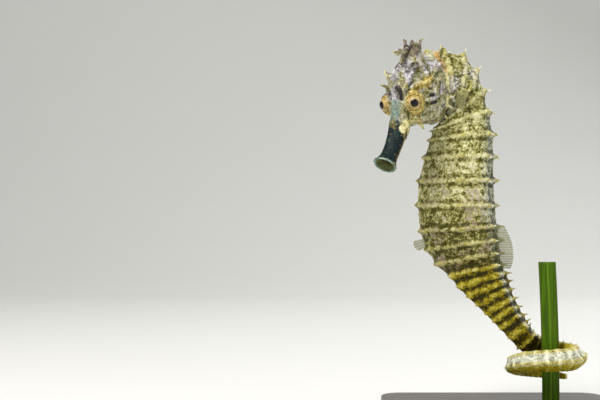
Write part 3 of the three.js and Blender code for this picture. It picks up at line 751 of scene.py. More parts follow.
    def build(self) -> tuple[bpy.types.Mesh, dict[str, np.ndarray]]:
        """Makes the closed surface and what its markings need.

        Returns:
            The mesh and, for each vertex but the two poles, the facts by name.
        """
        places = self.places()
        rows = self.run.middle(np.maximum(places, 0))
        speeds = self.run.speed(np.maximum(places, 0))
        names = ("ring", "ridge", "back", "side", "crest", "groove")
        rings, facts = [], {name: [] for name in names}
        for ring, row, speed in zip(places, rows, speeds):
            axes = self.run.axes(max(0.0, ring))
            at, depth, width = row[:3], row[3], row[4]
            if ring < 0:
                at = at - axes[2] * speed * -ring
                depth, width = depth * (1 + 0.5 * ring), width * (1 + 0.5 * ring)
            spots, nearest, away = self.outline(max(0.0, ring))
            share = float(self.tail_share(np.array([ring]))[0])
            flat = self.soften(spots * np.array([depth, width]), share)
            size = min(1.0, width / 4)
            angle = np.linspace(0, 2 * math.pi, len(flat), endpoint=False)
            relief = self.relief(ring, speed, size, angle)
            lengths = self.spine_lengths(max(0.0, ring))
            ridged = np.array((0, 1, 0, 1, 0, 1, 1)) * (1 - share) + np.array(self.tail_ridges) * share
            is_ridge = ridged[nearest]
            gap = np.linalg.norm(np.roll(flat, 1, axis=0) - flat, axis=1)
            across = away * self.per_edge * np.maximum(gap, 0.05)
            near = is_ridge * np.exp(-((across / (0.3 + 0.5 * size)) ** 2))
            spike = near * relief["crest"] ** 1.4
            total = relief["height"] * (0.8 + 0.4 * near) + 0.1 * size * near
            total = total + self.spine_foot_share * lengths[nearest] * spike
            total = total + self.boss * size * (1 - share) * near * relief["crest"]
            length = np.linalg.norm(flat, axis=1, keepdims=True)
            flat = flat * (length + total[:, None]) / np.maximum(length, 0.05)
            rings.append(at + flat[:, :1] * axes[0] + flat[:, 1:] * axes[1])
            found = (np.full(len(flat), ring), near, spots[:, 0], spots[:, 1], relief["crest"], relief["groove"])
            for name, values in zip(names, found):
                facts[name].append(values)
        mesh = grid_mesh("ringed_skin", np.array(rings))
        return mesh, {name: np.concatenate(values) for name, values in facts.items()}

    def spine_roots(self) -> tuple[np.ndarray, np.ndarray, np.ndarray, np.ndarray]:
        """Where the pointed spines stand.

        Returns:
            Roots, directions, lengths and rings.
        """
        random = np.random.default_rng(self.seed)
        roots, ways, lengths, rings = [], [], [], []
        for ring in range(1, int(self.run.last) - 2):
            row, axes = self.run.middle(ring)[0], self.run.axes(ring)
            tall = self.spine_lengths(ring)
            share = float(self.tail_share(np.array([ring]))[0])
            half = self.corners(ring)
            size = min(1.0, row[4] / 4)
            for number in (1, 3, 5, 6):
                for side in Side:
                    if tall[number] < 0.12 or (number == 6 and side is Side.RIGHT):
                        continue
                    flat = half[number] * np.array([row[3], row[4] * side.value])
                    out = unit(flat)
                    flat = flat - out * (0.25 * size + 0.3 * share * size)
                    stray = random.normal(0, 0.13, 3)
                    way = (out[0] + stray[0]) * axes[0] + (out[1] + stray[1]) * axes[1] + (0.1 + stray[2]) * axes[2]
                    roots.append(row[:3] + flat[0] * axes[0] + flat[1] * axes[1])
                    ways.append(unit(way))
                    lengths.append((tall[number] + 0.25 * size + 0.3 * share * size) * random.uniform(0.86, 1.06))
                    rings.append(ring)
        return np.array(roots), np.array(ways), np.array(lengths), np.array(rings, float)


# ---------------------------------------------------------------- the head


@dataclass
class HeadFrame:
    """The head's own frame: x forward, y left, z up, from a point midway between the eyes."""

    at: tuple = (-26.63, -12.5, 82.28)
    yaw: float = 50.0
    pitch: float = -30.0

    def __post_init__(self) -> None:
        """Works out the three directions as rows."""
        yaw, pitch = math.radians(self.yaw), math.radians(self.pitch)
        ahead = np.array([-math.cos(yaw), -math.sin(yaw), 0.0])
        up = np.array([0.0, 0.0, 1.0])
        left = np.cross(up, ahead)
        forward = ahead * math.cos(pitch) + up * math.sin(pitch)
        crown = -ahead * math.sin(pitch) + up * math.cos(pitch)
        self.axes = np.array([forward, left, crown])

    def out(self, points: Sequence) -> np.ndarray:
        """Points of the head's frame in the row frame."""
        return np.asarray(points, float) @ self.axes + np.array(self.at)

    def into(self, points: np.ndarray) -> np.ndarray:
        """Points of the row frame in the head's frame."""
        return (points - np.array(self.at)) @ self.axes.T

    def way(self, vector: Sequence[float]) -> np.ndarray:
        """A direction of the head's frame in the row frame."""
        return np.asarray(vector, float) @ self.axes


@dataclass
class EyeSizes:
    """Sizes that the eyes and their lids share, in millimetres and degrees."""

    offset: float = 3.9
    radius: float = 2.2
    swivel_left: float = 48.0
    swivel_right: float = 65.0
    lift: float = 17.0
    lid: float = 0.4
    gap: float = 0.02
    opening_from: float = 1.0

    def middle(self, side: Side) -> np.ndarray:
        """The eyeball's middle in the head's frame."""
        return np.array([0.0, self.offset * side.value, 0.0])

    def gaze(self, side: Side) -> np.ndarray:
        """The direction of the gaze in the head's frame."""
        swivel = math.radians(self.swivel_left if side is Side.LEFT else self.swivel_right)
        lift = math.radians(self.lift)
        return np.array([
            math.sin(swivel) * math.cos(lift),
            side.value * math.cos(swivel) * math.cos(lift),
            math.sin(lift),
        ])


@dataclass
class Head:
    """The skull, snout, coronet, lids and spines as one closed surface."""

    place: HeadFrame
    eyes: EyeSizes
    skull: tuple = (
        ((-14.9, -2.6), -29, 9.3, 9.5, 5.1, 0.8),
        ((-12.6, -2.2), -20, 8.9, 9.3, 5.9, 0.8),
        ((-9.4, -1.3), -12, 8.3, 8.8, 6.0, 0.8),
        ((-6.2, -0.8), -6, 8.6, 8.0, 5.2, 0.75),
        ((-3.2, -0.5), -2, 8.9, 7.1, 4.2, 0.65),
        ((-0.8, -0.6), 0, 7.6, 6.4, 3.2, 0.55),
        ((1.0, -1.8), 7, 5.9, 4.8, 2.6, 0.5),
        ((2.6, -3.7), 17, 3.9, 3.4, 2.6, 0.7),
        ((4.1, -5.1), 27, 2.9, 2.9, 2.6, 1.0),
        ((6.4, -6.55), 30, 2.4, 2.5, 2.25, 1.0),
        ((9.2, -8.2), 30, 2.2, 2.3, 2.1, 1.0),
        ((11.6, -9.3), 27, 2.25, 2.4, 2.2, 1.0),
        ((12.9, -9.8), 25, 2.65, 2.8, 2.7, 1.0),
        ((13.6, -10.05), 23, 3.05, 3.05, 3.1, 1.0),
    )
    lip: tuple = (
        ((13.9, -10.15), 23, 2.95, 2.95, 3.0),
        ((13.95, -10.15), 23, 2.6, 2.6, 2.65),
        ((13.5, -10.0), 23, 2.1, 2.1, 2.1),
        ((12.7, -9.75), 24, 1.4, 1.4, 1.4),
        ((11.6, -9.3), 27, 0.9, 0.9, 0.9),
    )
    round_points: int = 48
    column_foot: tuple = (-9.4, 0, 6.6)
    column_top: tuple = (-12.0, 0, 11.3)
    column_radii: tuple = (3.4, 2.2, 2.0)
    tips: tuple = ((0, 8.2, 2.75), (62, 2.6, 0.3), (125, 2.6, -0.9), (215, 2.7, -1.1), (-65, 2.2, -0.8))
    tip_spread: float = 19.0
    knob: float = 0.42
    spines: tuple = (
        ((-0.9, 2.0, -3.9), (-0.5, 4.0, -7.7), 1.2),
        ((-10.2, 3.4, -7.6), (-9.9, 4.8, -9.7), 0.9),
        ((-11.4, 4.4, -5.8), (-11.6, 6.2, -7.7), 0.8),
        ((-12.4, 4.9, -4.2), (-13.0, 6.3, -5.2), 0.7),
    )
    single_spines: tuple = (
        ((-17.2, 1.8, 3.9), (-20.0, 2.6, 6.3), 0.85),
        ((-17.2, -1.8, 3.9), (-18.6, -2.2, 5.9), 0.8),
        ((-0.8, 2.2, 3.6), (0.9, 3.2, 5.6), 0.7),
        ((-0.8, -2.2, 3.6), (1.6, -3.1, 6.4), 0.9),
    )
    web_tops: tuple = ((2.35, 10.0), (1.9, 8.75), (1.0, 8.15), (-0.3, 8.0), (-1.7, 8.15), (-3.0, 8.6), (-4.4, 9.3))
    web_feet: tuple = ((2.1, 3.6), (1.2, 4.4), (0.2, 5.0), (-0.8, 5.6), (-2.4, 6.2), (-4.0, 6.8), (-5.6, 7.2))
    nose_spine: tuple = (((-1.6, 0, 4.6), 1.0), ((0.2, 0, 6.6), 0.75), ((1.5, 0, 8.5), 0.5), ((2.2, 0, 9.9), 0.3))
    ridges: tuple = (
        (((-1.2, 3.5, 3.4), (-3.75, 3.5, 3.3), (-6.8, 4.5, 2.2), (-9.6, 4.7, 2.6), (-12.6, 4.3, 3.3), (-16.0, 3.7, 3.2)),
         (0.55, 0.7, 0.62, 0.5, 0.5, 0.45)),
        (((0.7, 2.4, 3.7), (-2.0, 2.8, 5.2), (-5.0, 2.7, 6.5), (-7.6, 2.6, 7.1)), (0.45, 0.6, 0.65, 0.7)),
        (((-2.6, 4.7, -1.0), (-5.5, 5.1, -1.9), (-9.5, 5.75, -2.3), (-13.0, 5.6, -1.9)), (0.5, 0.6, 0.5, 0.45)),
        (((0.6, 2.4, -3.4), (-2.2, 2.9, -5.2), (-6.0, 3.3, -6.6), (-10.0, 3.6, -7.2)), (0.5, 0.6, 0.55, 0.5)),
        (((-5.2, 5.0, 0.6), (-7.6, 5.5, -1.0), (-9.4, 5.6, -3.6), (-10.2, 5.3, -5.8)), (0.3, 0.4, 0.4, 0.35)),
    )
    bumps: tuple = (
        ((-16.3, 3.9, 2.4), 0.62), ((-13.9, 5.6, -0.6), 0.4), ((-12.9, 5.6, -4.6), 0.55), ((-11.6, 5.2, -6.6), 0.6),
        ((-10.9, 4.9, -7.9), 0.5), ((-6.6, 3.9, 4.0), 0.45), ((-9.8, 3.9, 4.9), 0.5), ((-3.4, 3.3, 5.4), 0.4),
        ((-12.8, 3.0, 5.8), 0.5), ((-4.4, 4.0, -4.6), 0.5), ((1.6, 2.2, -3.4), 0.5), ((0.4, 1.2, 4.7), 0.42),
    )
    rim_radius: float = 0.62
    voxel: float = 0.21

    def ring(self, at: Sequence[float], lean: float, up: float, down: float, width: float, crown: float) -> np.ndarray:
        """One egg-shaped section, narrower toward the crown, in the head's frame."""
        angle = np.linspace(0, 2 * math.pi, self.round_points, endpoint=False)
        rise = np.cos(angle)
        high = rise * np.where(rise > 0, up, down)
        wide = width * (1 + (crown - 1) * np.clip(rise, 0, 1)) * np.sin(angle)
        tilt = math.radians(lean)
        return np.stack([at[0] + high * math.sin(tilt), wide, at[1] + high * math.cos(tilt)], axis=1)

    def skull_mesh(self) -> bpy.types.Mesh:
        """The skull and snout with the funnel of the mouth."""
        rows = np.array([(*at, lean, up, down, width, crown) for at, lean, up, down, width, crown in self.skull])
        knots = np.arange(len(rows), dtype=float)
        fine = hermite(knots, rows, np.linspace(0, len(rows) - 1, 6 * (len(rows) - 1) + 1))
        rings = [self.ring(row[:2], *row[2:]) for row in fine]
        rings += [self.ring(at, lean, up, down, width, 1.0) for at, lean, up, down, width in self.lip]
        return grid_mesh("skull", self.place.out(np.array(rings)))

    def column_point(self, height: float, azimuth: float, reach: float) -> np.ndarray:
        """A point of the coronet's column, in the head's frame."""
        axis = unit(np.array(self.column_top) - np.array(self.column_foot))
        side = np.array([0.0, 1.0, 0.0])
        front = np.cross(side, axis)
        a = math.radians(azimuth)
        return np.array(self.column_foot) + axis * height + reach * (front * math.cos(a) + side * math.sin(a))

    def star(self, azimuth: float) -> tuple[float, float]:
        """How far out and how far down the coronet's rim stands at an azimuth."""
        least, drop = self.column_radii[2], 0.75
        reach, low = least, drop
        for at, far, down in self.tips:
            apart = (azimuth - at + 180) % 360 - 180
            near = math.exp(-((apart / self.tip_spread) ** 2))
            near = near ** 1.8 if far > 4 else near
            reach += (far - least) * near
            low += (down - drop) * near
        return reach, low

    def coronet_meshes(self) -> list[bpy.types.Mesh]:
        """The ribbed column with a hollow star on top, knobbed at its points."""
        tall = float(np.linalg.norm(np.array(self.column_top) - np.array(self.column_foot)))
        foot, waist, _ = self.column_radii
        azimuths = np.arange(0, 360, 5.0)
        stars = [self.star(azimuth) for azimuth in azimuths]
        rows = []
        for level in range(10):
            row = []
            for azimuth, (reach, low) in zip(azimuths, stars):
                neck = 0.6 * tall - 0.42 * max(0.0, low - 0.75)
                rib = 0.16 * math.exp(-(reach - 2.6) ** 2) + 0.05 * math.sin(math.radians(azimuth) * 11)
                levels = (
                    (-3.0, foot), (0.0, foot * 0.98 + rib), (0.3 * tall, 0.5 * (foot + waist) + rib),
                    (neck, waist + rib), (tall - low - 0.85, 0.45 * waist + 0.52 * reach),
                    (tall - low - 0.45, 0.97 * reach), (tall - low, reach), (tall - low - 0.1, reach - 0.42),
                    (tall - 1.15 - 0.45 * low, 0.5 * min(reach, 3.0)), (tall - 1.75, 0.35),
                )
                row.append(self.column_point(levels[level][0], azimuth, levels[level][1]))
            rows.append(row)
        meshes = [grid_mesh("column", self.place.out(np.array(rows)))]
        for azimuth, reach, drop in self.tips:
            tip = self.column_point(tall - drop - 0.15, azimuth, reach)
            root = self.column_point(tall - drop - 0.8, azimuth, reach * 0.72)
            path = tube([root, 0.5 * (root + tip), tip], [0.5, 0.4, 0.34], 10, 6)
            meshes.append(grid_mesh("tip", self.place.out(round_tip(path, 0.34))))
            meshes.append(grid_mesh("knob", self.place.out(ball_rings(tip, (self.knob,) * 2, [0, 0, 1], 8))))
        return meshes

    def web_mesh(self) -> bpy.types.Mesh:
        """The thin crest up the middle of the forehead, from the nose spine to the coronet."""
        count = 4 * (len(self.web_tops) - 1) + 1
        places = np.linspace(0, len(self.web_tops) - 1, count)
        knots = np.arange(len(self.web_tops), dtype=float)
        tops, feet = hermite(knots, np.array(self.web_tops), places), hermite(knots, np.array(self.web_feet), places)
        rings = []
        for top, foot in zip(tops, feet):
            loop = []
            for angle in np.linspace(0, 2 * math.pi, 14, endpoint=False):
                share = 0.5 + 0.5 * math.cos(angle)
                at = foot + (top - foot) * share
                loop.append((at[0], (0.75 - 0.45 * share) * math.sin(angle), at[1]))
            rings.append(loop)
        return grid_mesh("web", self.place.out(np.array(rings)))

    def lid_mesh(self, side: Side) -> bpy.types.Mesh:
        """The turret of skin round one eye, still closed."""
        at, gaze = self.eyes.middle(side), self.eyes.gaze(side)
        outer = self.eyes.radius + self.eyes.gap + self.eyes.lid
        sizes = ((-2.6, 0.9), (-1.7, 1.14), (-0.8, 1.18), (0.0, 1.1), (0.7, 0.96), (1.2, 0.81), (1.5, 0.6))
        rings = []
        hint = unit(np.cross(gaze, [0.0, 0.0, 1.0]))
        up = np.cross(hint, gaze)
        for along, share in sizes:
            angle = np.linspace(0, 2 * math.pi, 40, endpoint=False)[:, None]
            wave = 1 + 0.012 * np.sin(9 * angle) + 0.01 * np.sin(17 * angle + along)
            flat = np.cos(angle) * hint * 0.97 + np.sin(angle) * up * 1.05
            rings.append(at + gaze * along + outer * share * wave * flat)
        return grid_mesh("lid", self.place.out(np.array(rings)))

    def small_parts(self) -> list[bpy.types.Mesh]:
        """Spines and ridges of bone on the head, on both sides."""
        meshes = []
        for side in Side:
            flip = np.array([1.0, side.value, 1.0])
            for foot, tip, radius in self.spines:
                foot, tip = np.array(foot) * flip, np.array(tip) * flip
                middle = 0.5 * (foot + tip) + 0.04 * (foot - tip)
                path = tube([foot, middle, tip], [radius * 1.1, radius * 0.55, 0.26], 10, 8)
                meshes.append(grid_mesh("spine", self.place.out(round_tip(path, 0.26))))
            for points, radii in self.ridges:
                path = tube(np.array(points) * flip, radii, 10, 14)
                meshes.append(grid_mesh("ridge", self.place.out(path)))
            for at, radius in self.bumps:
                meshes.append(grid_mesh("bump", self.place.out(ball_rings(np.array(at) * flip, (radius,) * 2, [0, 0, 1], 10))))
        for foot, tip, radius in self.single_spines:
            middle = 0.5 * (np.array(foot) + np.array(tip))
            path = tube([foot, middle, tip], [radius, radius * 0.6, 0.3], 10, 6)
            meshes.append(grid_mesh("brow", self.place.out(round_tip(path, 0.3))))
        points = [np.array(at) for at, _ in self.nose_spine]
        blade = tube(points, [size for _, size in self.nose_spine], 12, 10)
        middle = blade.mean(axis=1, keepdims=True)
        along = np.gradient(middle, axis=0)
        fore = unit(np.cross(along, [0.0, 1.0, 0.0]))
        reach = np.sum((blade - middle) * fore, axis=2, keepdims=True)
        fade = np.linspace(1.4, 0.4, len(blade))[:, None, None]
        blade = blade + fore * reach * fade
        meshes.append(grid_mesh("nose", self.place.out(round_tip(blade, 0.3))))
        return meshes

    def rim_mesh(self) -> bpy.types.Mesh:
        """The raised rim at the back edge of the gill covers."""
        at, lean, up, down, width, crown = self.skull[0]
        loop = self.ring((at[0] + 0.75, at[1]), lean, up - 0.4, down - 0.4, width - 0.05, crown)
        ahead = unit(np.roll(loop, -1, axis=0) - np.roll(loop, 1, axis=0))
        outward = unit(loop - loop.mean(axis=0))
        back = np.cross(ahead, outward)
        rings = []
        for i in range(len(loop)):
            angle = np.linspace(0, 2 * math.pi, 8, endpoint=False)[:, None]
            rings.append(loop[i] + self.rim_radius * (np.cos(angle) * outward[i] + np.sin(angle) * back[i]))
        points = self.place.out(np.array(rings)).reshape(-1, 3) * MM
        faces = [
            (i * 8 + k, ((i + 1) % len(loop)) * 8 + k, ((i + 1) % len(loop)) * 8 + (k + 1) % 8, i * 8 + (k + 1) % 8)
            for i in range(len(loop)) for k in range(8)
        ]
        mesh = bpy.data.meshes.new("rim")
        mesh.from_pydata([tuple(p) for p in points], [], faces)
        face_outward(mesh)
        return mesh

    def build(self) -> bpy.types.Object:
        """Makes the head and cuts the eye openings.

        Returns:
            The head as one closed object.
        """
        meshes = [self.skull_mesh(), self.rim_mesh(), self.web_mesh(), *self.coronet_meshes(), *self.small_parts()]
        meshes += [self.lid_mesh(side) for side in Side]
        head = joined_object("head_skin", meshes)
        modifier = head.modifiers.new("one", "REMESH")
        modifier.mode = "VOXEL"
        modifier.voxel_size = self.voxel * MM
        evaluated(head)
        soften = head.modifiers.new("soften", "SMOOTH")
        soften.factor = 0.5
        soften.iterations = 2
        evaluated(head)
        for side in Side:
            at, gaze = self.eyes.middle(side), self.eyes.gaze(side)
            socket = ball_rings(at, (self.eyes.radius + self.eyes.gap,) * 2, gaze, 28)
            self._cut(head, socket)
            start = at + gaze * self.eyes.opening_from
            wide = self.eyes.radius + self.eyes.gap
            mouth = tube([start, start + gaze * 4], [wide * 0.885, wide * 2.1], 40)
            self._cut(head, mouth)
        return head

    def _cut(self, head: bpy.types.Object, rings: np.ndarray) -> None:
        """Cuts a shape of the head's frame out of the head."""
        tool = new_object("tool", grid_mesh("tool", self.place.out(rings)))
        boolean(head, tool, "DIFFERENCE")


@dataclass
class Eye:
    """One eyeball: a black pupil in a golden iris under a clear dome."""

    place: HeadFrame
    sizes: EyeSizes
    side: Side
    dome: float = 0.22
    steps: int = 40

    def build(self) -> bpy.types.Object:
        """Makes the eyeball with the facts of its markings."""
        at, gaze = self.sizes.middle(self.side), self.sizes.gaze(self.side)
        rings = ball_rings(at, (self.sizes.radius,) * 2, gaze, self.steps)
        flat = rings.reshape(-1, 3) - at
        along = unit(flat) @ gaze
        bulge = self.dome * np.clip((along - 0.72) / 0.28, 0, 1) ** 1.5
        rings = (at + flat + gaze * bulge[:, None]).reshape(rings.shape)
        mesh = grid_mesh(f"eye_{self.side.name.lower()}_ball", self.place.out(rings))
        points = self.place.into(vertex_array(mesh)) - at
        side_way = unit(np.cross(gaze, [0.0, 0.0, 1.0]))
        up_way = np.cross(side_way, gaze)
        store_vector(mesh, "gaze_place", np.stack([points @ side_way, points @ up_way, points @ gaze], axis=1))
        return new_object(mesh.name, mesh)


# ---------------------------------------------------------------- fins


@dataclass
class Fin:
    """A thin web with raised rays between a foot line and a tip line."""

    name: str
    web: float = 0.16
    ray: float = 0.13
    rows: int = 10

    def build(self, feet: np.ndarray, tips: np.ndarray, rays: int) -> bpy.types.Object:
        """Makes the fin.

        Args:
            feet: the foot line.
            tips: the tip line.
            rays: how many rays stand in the web.

        Returns:
            The fin with its rays, as one closed object.
        """
        count = rays * 6 + 1
        knots = np.linspace(0, 1, len(feet))
        fine = np.linspace(0, 1, count)
        feet, tips = hermite(knots, feet, fine), hermite(knots, tips, fine)
        notch = 0.06 * (1 - np.abs(np.sin(fine * rays * math.pi)))[:, None]
        tips = tips + (feet - tips) * notch
        share = np.linspace(0, 1, self.rows)
        middle = feet[:, None] + (tips - feet)[:, None] * share[None, :, None]
        along = np.gradient(middle, axis=0)
        out = np.gradient(middle, axis=1)
        normal = unit(np.cross(along, out))
        crest = np.exp(-((((fine * rays) % 1.0) - 0.5) / 0.16) ** 2)[:, None, None]
        thick = self.web / 2 + self.ray * crest * (1 - 0.55 * share)[None, :, None]
        thick = thick * (1 - 0.5 * share[None, :, None] ** 6)
        front, back = middle + normal * thick, middle - normal * thick
        rings = np.concatenate([front, back[:, ::-1]], axis=1)
        mesh = grid_mesh(self.name, rings)
        flat = np.tile(np.concatenate([share, share[::-1]]), count)
        ray = np.repeat(crest[:, 0, 0], 2 * self.rows)
        store(mesh, "fin_share", np.concatenate([flat, [0.5, 0.5]]))
        store(mesh, "fin_ray", np.concatenate([ray, [0.0, 0.0]]))
        return new_object(self.name, mesh)


@dataclass
class Fins:
    """The three kinds of fin and where they stand on the body."""

    run: BodyRun
    dorsal: tuple = (8.8, 12.2, 3.2, 18, 0.4)
    anal: tuple = (9.36, 9.8, 1.5, 4, 0.25)
    pectoral: tuple = (0.5, 1.6, 3.0, 1.9, 1.5, 2.1)
    pectoral_rays: int = 15

    def median(self, name: str, sizes: tuple, out: int) -> bpy.types.Object:
        """A fin on the middle line of the back or belly.

        Args:
            name: the piece's name.
            sizes: first and last ring, height, rays and sweep.
            out: 1 on the back, -1 on the belly.

        Returns:
            The fin.
        """
        first, last, height, rays, sweep = sizes
        feet, tips = [], []
        for share in np.linspace(0, 1, rays + 1):
            ring = first + (last - first) * share
            row, later = self.run.middle(ring)[0], self.run.middle(ring + sweep)[0]
            dorsal = self.run.axes(ring)[0] * out
            skin = row[3] * (0.88 if out > 0 else 1.0) - 0.6
            gap = skin + 1.52
            rise = height * math.sin(math.pi * (0.12 + 0.82 * share)) ** 0.5
            shift = (later[:3] - row[:3]) * (0.4 + 0.6 * share)
            feet.append(row[:3] + dorsal * (skin - 0.9))
            tips.append(row[:3] + dorsal * (gap + rise) + shift)
        return Fin(name).build(np.array(feet), np.array(tips), rays)

    def chest(self, side: Side) -> bpy.types.Object:
        """The small fan behind one gill cover."""
        foot, tip, span, spread, off, flare = self.pectoral
        feet, tips = [], []
        for share in np.linspace(-0.5, 0.5, 9):
            feet.append(self._beside(foot, share * span, off - 1.6, side))
            tips.append(self._beside(tip - 0.9 * share * share, share * span * spread, flare, side))
        fin = Fin(f"pectoral_web_{side.name.lower()}", ray=0.09)
        return fin.build(np.array(feet), np.array(tips), self.pectoral_rays)

    def _beside(self, ring: float, across: float, away: float, side: Side) -> np.ndarray:
        """A point beside the body."""
        row, axes = self.run.middle(ring)[0], self.run.axes(ring)
        return row[:3] + axes[0] * (across - 0.36 * row[3]) + axes[1] * side.value * (row[4] + away)


# ---------------------------------------------------------------- perch and stand


@dataclass
class Perch:
    """The short cut length of leaf blade."""

    at: tuple = (12.95, -1.45)
    width: float = 4.5
    thickness: float = 0.6
    bow: float = 0.24
    lean: float = 1.0
    bottom: float = 5.3
    top: float = 42.0
    across: int = 45
    steps: int = 60
    veins: int = 9

    def build(self) -> bpy.types.Object:
        """Makes the blade with its midrib, veins and thin edges."""
        rings = []
        part = np.linspace(-0.5, 0.5, self.across)
        vein = np.cos(part * 2 * math.pi * self.veins) ** 6
        edge = np.clip((0.5 - np.abs(part)) / 0.1, 0, 1) ** 0.5
        thick = self.thickness / 2 * (0.35 + 0.65 * edge) - 0.05 + 0.035 * vein
        for share in np.linspace(0, 1, self.steps + 1):
            height = self.bottom + (self.top - self.bottom) * share
            x = self.at[0] - self.lean * share * share + part * self.width
            y = self.at[1] - self.bow * (1 - 4 * part * part) + self.thickness / 2
            front = np.stack([x, y - thick, np.full_like(x, height)], axis=1)
            back = np.stack([x, y + thick, np.full_like(x, height)], axis=1)
            rings.append(np.concatenate([front, back[::-1]]))
        mesh = grid_mesh("leaf_blade", np.array(rings))
        both = np.concatenate([part, part[::-1]])
        store(mesh, "blade_across", np.concatenate([np.tile(both, self.steps + 1), [0.0, 0.0]]))
        return new_object("leaf_blade", mesh)


@dataclass
class Stand:
    """A plain base slab and one rod."""

    length: float = 60.0
    breadth: float = 46.0
    height: float = 5.0
    corner: float = 6.0
    bevel: float = 0.6
    rod_at: tuple = (13.4, 0.7)
    rod_radius: float = 1.0
    rod_top: float = 26.5
    rod_bottom: float = 5.3

    def outline(self, inset: float) -> np.ndarray:
        """The slab's outline, drawn in by an inset."""
        points = []
        x, y = self.length / 2 - self.corner, self.breadth / 2 - self.corner
        for k, (sx, sy) in enumerate(((1, 1), (-1, 1), (-1, -1), (1, -1))):
            for a in np.linspace(k * math.pi / 2, (k + 1) * math.pi / 2, 13):
                radius = self.corner - inset
                points.append((sx * x + radius * math.cos(a), sy * y + radius * math.sin(a)))
        return np.array(points)

    def slab(self) -> bpy.types.Object:
        """The slab with its rounded edges."""
        rings = []
        for a in np.linspace(0, math.pi / 2, 7):
            flat = self.outline(self.bevel * (1 - math.sin(a)))
            rings.append(np.column_stack([flat, np.full(len(flat), self.bevel * (1 - math.cos(a)))]))
        for a in np.linspace(0, math.pi / 2, 7):
            flat = self.outline(self.bevel * (1 - math.cos(a)))
            height = self.height - self.bevel * (1 - math.sin(a))
            rings.append(np.column_stack([flat, np.full(len(flat), height)]))
        rings = np.array(rings)
        inner = rings[-1].copy()
        inner[:, :2] *= 0.9
        outer = rings[0].copy()
        outer[:, :2] *= 0.9
        return new_object("stand_slab", grid_mesh("stand_slab", np.concatenate([[outer], rings, [inner]])))

    def rod(self) -> bpy.types.Object:
        """The rod with its rounded top."""
        sizes = [(self.rod_bottom, 1.0), (self.rod_top - 0.25, 1.0), (self.rod_top - 0.08, 0.93), (self.rod_top, 0.75)]
        rings = []
        for height, share in sizes:
            a = np.linspace(0, 2 * math.pi, 48, endpoint=False)
            radius = self.rod_radius * share
            ring = np.stack([
                self.rod_at[0] + radius * np.cos(a), self.rod_at[1] + radius * np.sin(a), np.full_like(a, height)
            ], axis=1)
            rings.append(ring)
        rings.append((rings[-1] - rings[-1].mean(axis=0)) * 0.5 + rings[-1].mean(axis=0))
        return new_object("stand_pin", grid_mesh("stand_pin", np.array(rings)))


# ---------------------------------------------------------------- spines and granules


def group_input(tree: bpy.types.NodeTree, name: str, kind: str, value: object = None) -> str:
    """Adds a named input to a node group.

    Args:
        tree: the group.
        name: the input's name.
        kind: the socket type.
        value: its default.

    Returns:
        The socket's identifier.
    """
    socket = tree.interface.new_socket(name, in_out="INPUT", socket_type=kind)
    if value is not None:
        socket.default_value = value
    return socket.identifier


def named_value(graph: Graph, name: str, kind: str = "FLOAT") -> Wire:
    """A named attribute inside a modifier's tree."""
    return graph.add("GeometryNodeInputNamedAttribute", {"data_type": kind}, {"Name": name}, "Attribute")


def named_store(graph: Graph, geometry: Wire, name: str, value: Number, domain: str = "POINT") -> Wire:
    """Stores a named attribute inside a modifier's tree."""
    settings = {"data_type": "FLOAT", "domain": domain}
    return graph.add("GeometryNodeStoreNamedAttribute", settings, {"Geometry": geometry, "Name": name, "Value": value})


